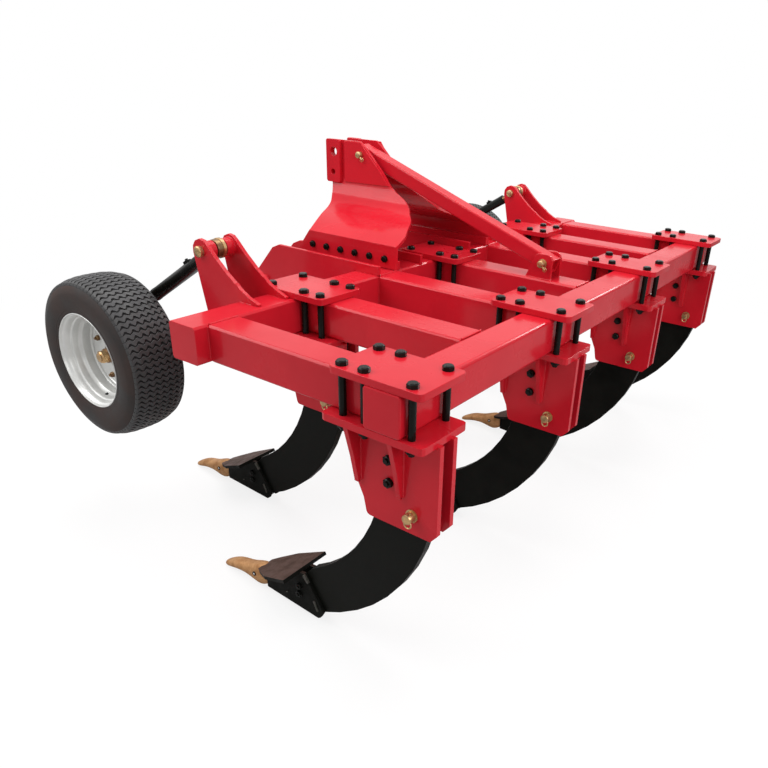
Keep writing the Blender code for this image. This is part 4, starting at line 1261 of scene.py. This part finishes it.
def tyre_profile():
    """Bead, side wall with its rings, shoulder and crown, one half at a time."""
    half = [*TYRE_SIDE, *((crown(y, CARCASS_TOP), y) for y in CARCASS_ROWS)]
    return [(r, -y) for r, y in half] + [(CARCASS_TOP, 0.0)] + [(r, y) for r, y in reversed(half)]


def tread_rib(pitch):
    """One wavy rib across the crown: broad where it turns one way, thin where it turns back."""
    work = bmesh.new()
    rings = []
    count = TREAD_WAVES * WAVE_STEPS
    chamfer, shoulder = RIB_CHAMFER
    widening, power = RIB_SPREAD
    fall, narrowing, rise = RIB_END
    for step in range(-1, count + 2):
        y = -TREAD_HALF + 2 * TREAD_HALF * step / count
        within = min(abs(y), TREAD_HALF)
        beyond = max(abs(y) - TREAD_HALF, 0)
        wave = math.cos(2 * math.pi * step / WAVE_STEPS)
        shift = TREAD_SWAY * wave
        top = crown(within, TREAD_TOP) - beyond * fall - RIB_DIP * (1 - wave)
        base = top - TREAD_DEPTH + beyond * rise
        half = pitch * (RIB_SHARE + RIB_SWELL * wave)
        half *= 1 + widening * (within / TREAD_HALF) ** power - beyond * narrowing
        rings.append([
            work.verts.new((height * math.cos(along / TREAD_TOP), y, height * math.sin(along / TREAD_TOP)))
            for along, height in (
                (shift - half, base), (shift - half, top - shoulder), (shift - half + chamfer, top),
                (shift + half - chamfer, top), (shift + half, top - shoulder), (shift + half, base),
            )])
    skinned(work, rings)
    return from_work("tread_rib", work)


def wheel_seat(side):
    """Puts a wheel piece on its axle with its open side outward."""
    wheel = WHEELS[side]
    turn = Matrix.Rotation(0 if wheel.outward > 0 else math.pi, 4, "Z")
    return Matrix.Translation(at(AXLE[0], wheel.wheel_y, AXLE[1])) @ turn


def seated(form, side):
    """A wheel's bmesh as a mesh in its place."""
    mesh = from_work("wheel_part", form)
    mesh.transform(wheel_seat(side))
    return mesh


class SUBSOILER_OT_tyres(bpy.types.Operator):
    """Makes the tyres with their wavy turf tread"""

    bl_idname = "subsoiler.tyres"
    bl_label = "Make the tyres"

    def execute(self, context):
        ribs = settings().tread_rows
        middle = at(AXLE[0], 0, AXLE[1])
        for side in WHEELS:
            body = "wheel_" + side
            carcass = seated(lathe(tyre_profile(), TYRE_STEPS), side)
            placed("tyre_carcass_" + side, carcass, RUBBER, body, 28, ("tyre_" + side,))
            carcass.materials.append(finish(WALL))
            for face in carcass.polygons:
                out = face.center - middle
                face.material_index = 1 if math.hypot(out.x, out.z) < SIDE_WALL else 0
            rib = tread_rib(2 * math.pi * TREAD_TOP / ribs)
            tread = grown("tyre_tread_" + side, rib, turf_tread(), {"Ribs": ribs}, TREAD, body, 30)
            tread.data.transform(wheel_seat(side))
        return {"FINISHED"}


class SUBSOILER_OT_rims(bpy.types.Operator):
    """Makes the deep stepped rims with their hub nut and wheel bolts"""

    bl_idname = "subsoiler.rims"
    bl_label = "Make the rims"

    def execute(self, context):
        for side, wheel in WHEELS.items():
            body = "wheel_" + side
            out = (0, wheel.outward, 0)
            rim = seated(lathe(RIM_INNER + RIM_OUTER, RIM_STEPS), side)
            placed("rim_shell_" + side, rim, SILVER, body, 22, ("rim_" + side,))
            bolts = []
            for angle in map(math.radians, WHEEL_BOLTS):
                x = WHEEL_BOLT_RING * math.cos(angle)
                z = WHEEL_BOLT_RING * math.sin(angle)
                bolts.append((wheel_seat(side) @ Vector((x, WHEEL_BOLT_FACE, z)), out))
            fasten("wheel_bolts_", bolts, DULL_ZINC, body, side, 35)
            hub = at(AXLE[0], wheel.wheel_y + wheel.outward * HUB_FACE, AXLE[1])
            turned("hub_sleeve_" + side, "arm_" + side, DULL_ZINC, [(hub, out, HUB, 30)])
            nut = at(AXLE[0], wheel.wheel_y + wheel.outward * NUT_FACE, AXLE[1])
            fasten("axle_nut_", [(nut, out)], ZINC, "arm_" + side, side, 35)
            valve = bmesh.new()
            across = math.cos(VALVE_ANGLE)
            above = math.sin(VALVE_ANGLE)
            stem = (VALVE_RING * across, VALVE_FACE, VALVE_RING * above)
            spun(valve, stem, (-across, VALVE_LEAN, -above), VALVE, 18)
            placed("valve_" + side, seated(valve, side), RUBBER, body)
        return {"FINISHED"}


class SUBSOILER_OT_adjusters(bpy.types.Operator):
    """Finishes the screw adjusters of the gauge wheels"""

    bl_idname = "subsoiler.adjusters"
    bl_label = "Finish the adjusters"

    def execute(self, context):
        dress("adjuster_barrel_", finish(BLACK))
        dress("adjuster_rod_", finish(ZINC))
        cross = Vector((0, 1, 0))
        for side, wheel in WHEELS.items():
            body = "barrel_" + side
            top = at(EAR_PIN[0], wheel.arm_y, EAR_PIN[1])
            along = (at(ARM_PIN[0], wheel.arm_y, ARM_PIN[1]) - top).normalized()
            up = Vector((-along.z, 0, along.x))
            up = up if up.z > 0 else -up
            turned("barrel_sleeve_" + side, body, OXIDE, [(top + along * SLEEVE_START, along, SLEEVE, 32)])
            turned("adjuster_eye_" + side, body, DULL_ZINC, [
                (top + cross * EYE_SIDE, cross, EYE, 32),
                (top + along * EYE_NECK_START, along, EYE_NECK, 24)], 30)
            turned("eye_flange_" + side, body, ZINC, [(top + cross * FLANGE_SIDE, cross, FLANGE, 32)], 30)
            clip = bmesh.new()
            turn = Matrix((along, cross, up)).transposed().to_4x4()
            for long, wide, corner, low, high in CLIP_BLOCKS:
                prism(clip, rounded_box(-long, long, -wide, wide, corner, 3), low, high,
                      Matrix.Translation(top + along * CLIP_START) @ turn)
            rounded(placed("barrel_clip_" + side, clip, OXIDE, body), *CLIP_EDGE)
        return {"FINISHED"}


def camera_matrix():
    """Right, up and back axes of the photograph's camera, and its place."""
    az, el, roll = CAMERA_AZIMUTH, CAMERA_ELEVATION, CAMERA_ROLL
    back = Vector((math.sin(az) * math.cos(el), -math.cos(az) * math.cos(el), math.sin(el)))
    level = Vector((math.cos(az), math.sin(az), 0))
    above = back.cross(level)
    right = level * math.cos(roll) + above * math.sin(roll)
    up = above * math.cos(roll) - level * math.sin(roll)
    turn = Matrix((right, up, back)).transposed().to_4x4()
    return Matrix.Translation(at(*CAMERA_PLACE)) @ turn


def floor_material():
    """A floor that the camera sees white, that keeps a soft shadow and throws back little light."""
    made, tree = new_material("pale floor")[:2]
    tree.nodes.clear()
    path = put(tree, "ShaderNodeLightPath").outputs
    seen = maths(tree, "MAXIMUM", path["Is Camera Ray"], path["Is Transmission Ray"])
    place = object_place(tree)
    cloud = times(tree, noise(tree, place, *FLOOR_CLOUD), FLOOR_CLOUD_SHARE)
    colour = mix_colour(tree, cloud, mix_colour(tree, seen, FLOOR_DARK, FLOOR_PALE), FLOOR_PALE)
    lit = put(tree, "ShaderNodeBsdfDiffuse", {"Color": colour})
    shine = put(tree, "ShaderNodeEmission", {"Color": WHITE, "Strength": 1.0})
    away = put(tree, "ShaderNodeVectorMath", {0: place}, operation="LENGTH").outputs["Value"]
    share = times(tree, seen, spread(tree, away, *SHADOW_FADE, FLOOR_GLOW, 1.0))
    both = put(tree, "ShaderNodeMixShader", {0: share, 1: lit.outputs[0], 2: shine.outputs[0]})
    put(tree, "ShaderNodeOutputMaterial", {"Surface": both.outputs[0]})
    return made


class SUBSOILER_OT_stage(bpy.types.Operator):
    """Lays the pale floor and sets the soft lamps, the world and the camera"""

    bl_idname = "subsoiler.stage"
    bl_label = "Set the stage"

    def execute(self, context):
        scene = context.scene
        mesh = bpy.data.meshes.new("floor")
        corners = [(x * FLOOR_REACH, y * FLOOR_REACH, 0) for x, y in ((-1, -1), (1, -1), (1, 1), (-1, 1))]
        mesh.from_pydata(corners, [], [(0, 1, 2, 3)])
        mesh.materials.append(floor_material())
        floor = loose("floor", mesh)
        for name, place, size, watts in LAMPS:
            light = bpy.data.lights.new(name, "AREA")
            light.shape = "DISK"
            light.size = size
            light.energy = watts
            aim = (LAMP_TARGET - Vector(place)).to_track_quat("-Z", "Y").to_matrix().to_4x4()
            loose(name, light).matrix_world = Matrix.Translation(place) @ aim
        world = bpy.data.worlds.new("pale studio")
        scene.world = world
        world.use_nodes = True
        tree = world.node_tree
        ground = tree.nodes["Background"].inputs
        path = put(tree, "ShaderNodeLightPath").outputs
        seen = maths(tree, "MAXIMUM", path["Is Camera Ray"], path["Is Glossy Ray"])
        seen = maths(tree, "MAXIMUM", seen, path["Is Transmission Ray"])
        fill(tree, ground["Strength"], spread(tree, seen, 0.0, 1.0, WORLD_LIGHT, 1.0))
        fill(tree, ground["Color"], WHITE)
        scene.view_settings.view_transform = "Standard"
        lens = bpy.data.cameras.new("photo_view")
        lens.sensor_width = SENSOR_WIDTH
        lens.lens = FOCAL_PIXELS / IMAGE_SIZE * SENSOR_WIDTH
        lens.shift_x = (IMAGE_SIZE / 2 - CENTRE_PIXEL[0]) / IMAGE_SIZE
        lens.shift_y = (CENTRE_PIXEL[1] - IMAGE_SIZE / 2) / IMAGE_SIZE
        lens.clip_end = FAR_CLIP
        camera = loose("photo_view", lens)
        camera.matrix_world = camera_matrix()
        scene.camera = camera
        return {"FINISHED"}


OPERATORS = (
    SUBSOILER_OT_frame, SUBSOILER_OT_mast, SUBSOILER_OT_clamps, SUBSOILER_OT_pins, SUBSOILER_OT_shanks,
    SUBSOILER_OT_points, SUBSOILER_OT_welds, SUBSOILER_OT_tyres, SUBSOILER_OT_rims,
    SUBSOILER_OT_adjusters, SUBSOILER_OT_stage,
)


class SUBSOILER_PT_looks(bpy.types.Panel):
    """Lists the steps that dress the subsoiler"""

    bl_label = "Subsoiler"
    bl_idname = "SUBSOILER_PT_looks"
    bl_space_type = "VIEW_3D"
    bl_region_type = "UI"
    bl_category = "Subsoiler"

    def draw(self, context):
        finish_settings = context.scene.subsoiler_finish
        for name in SubsoilerFinish.__annotations__:
            self.layout.prop(finish_settings, name)
        for step in OPERATORS:
            self.layout.operator(step.bl_idname)


CLASSES = (SubsoilerFinish, *OPERATORS, SUBSOILER_PT_looks)


def register():
    for part in CLASSES:
        bpy.utils.register_class(part)
    bpy.types.Scene.subsoiler_finish = bpy.props.PointerProperty(type=SubsoilerFinish)


def unregister():
    del bpy.types.Scene.subsoiler_finish
    for part in reversed(CLASSES):
        bpy.utils.unregister_class(part)


def main():
    register()
    for step in OPERATORS:
        group, name = step.bl_idname.split(".")
        getattr(getattr(bpy.ops, group), name)()


if __name__ == "__main__":
    main()
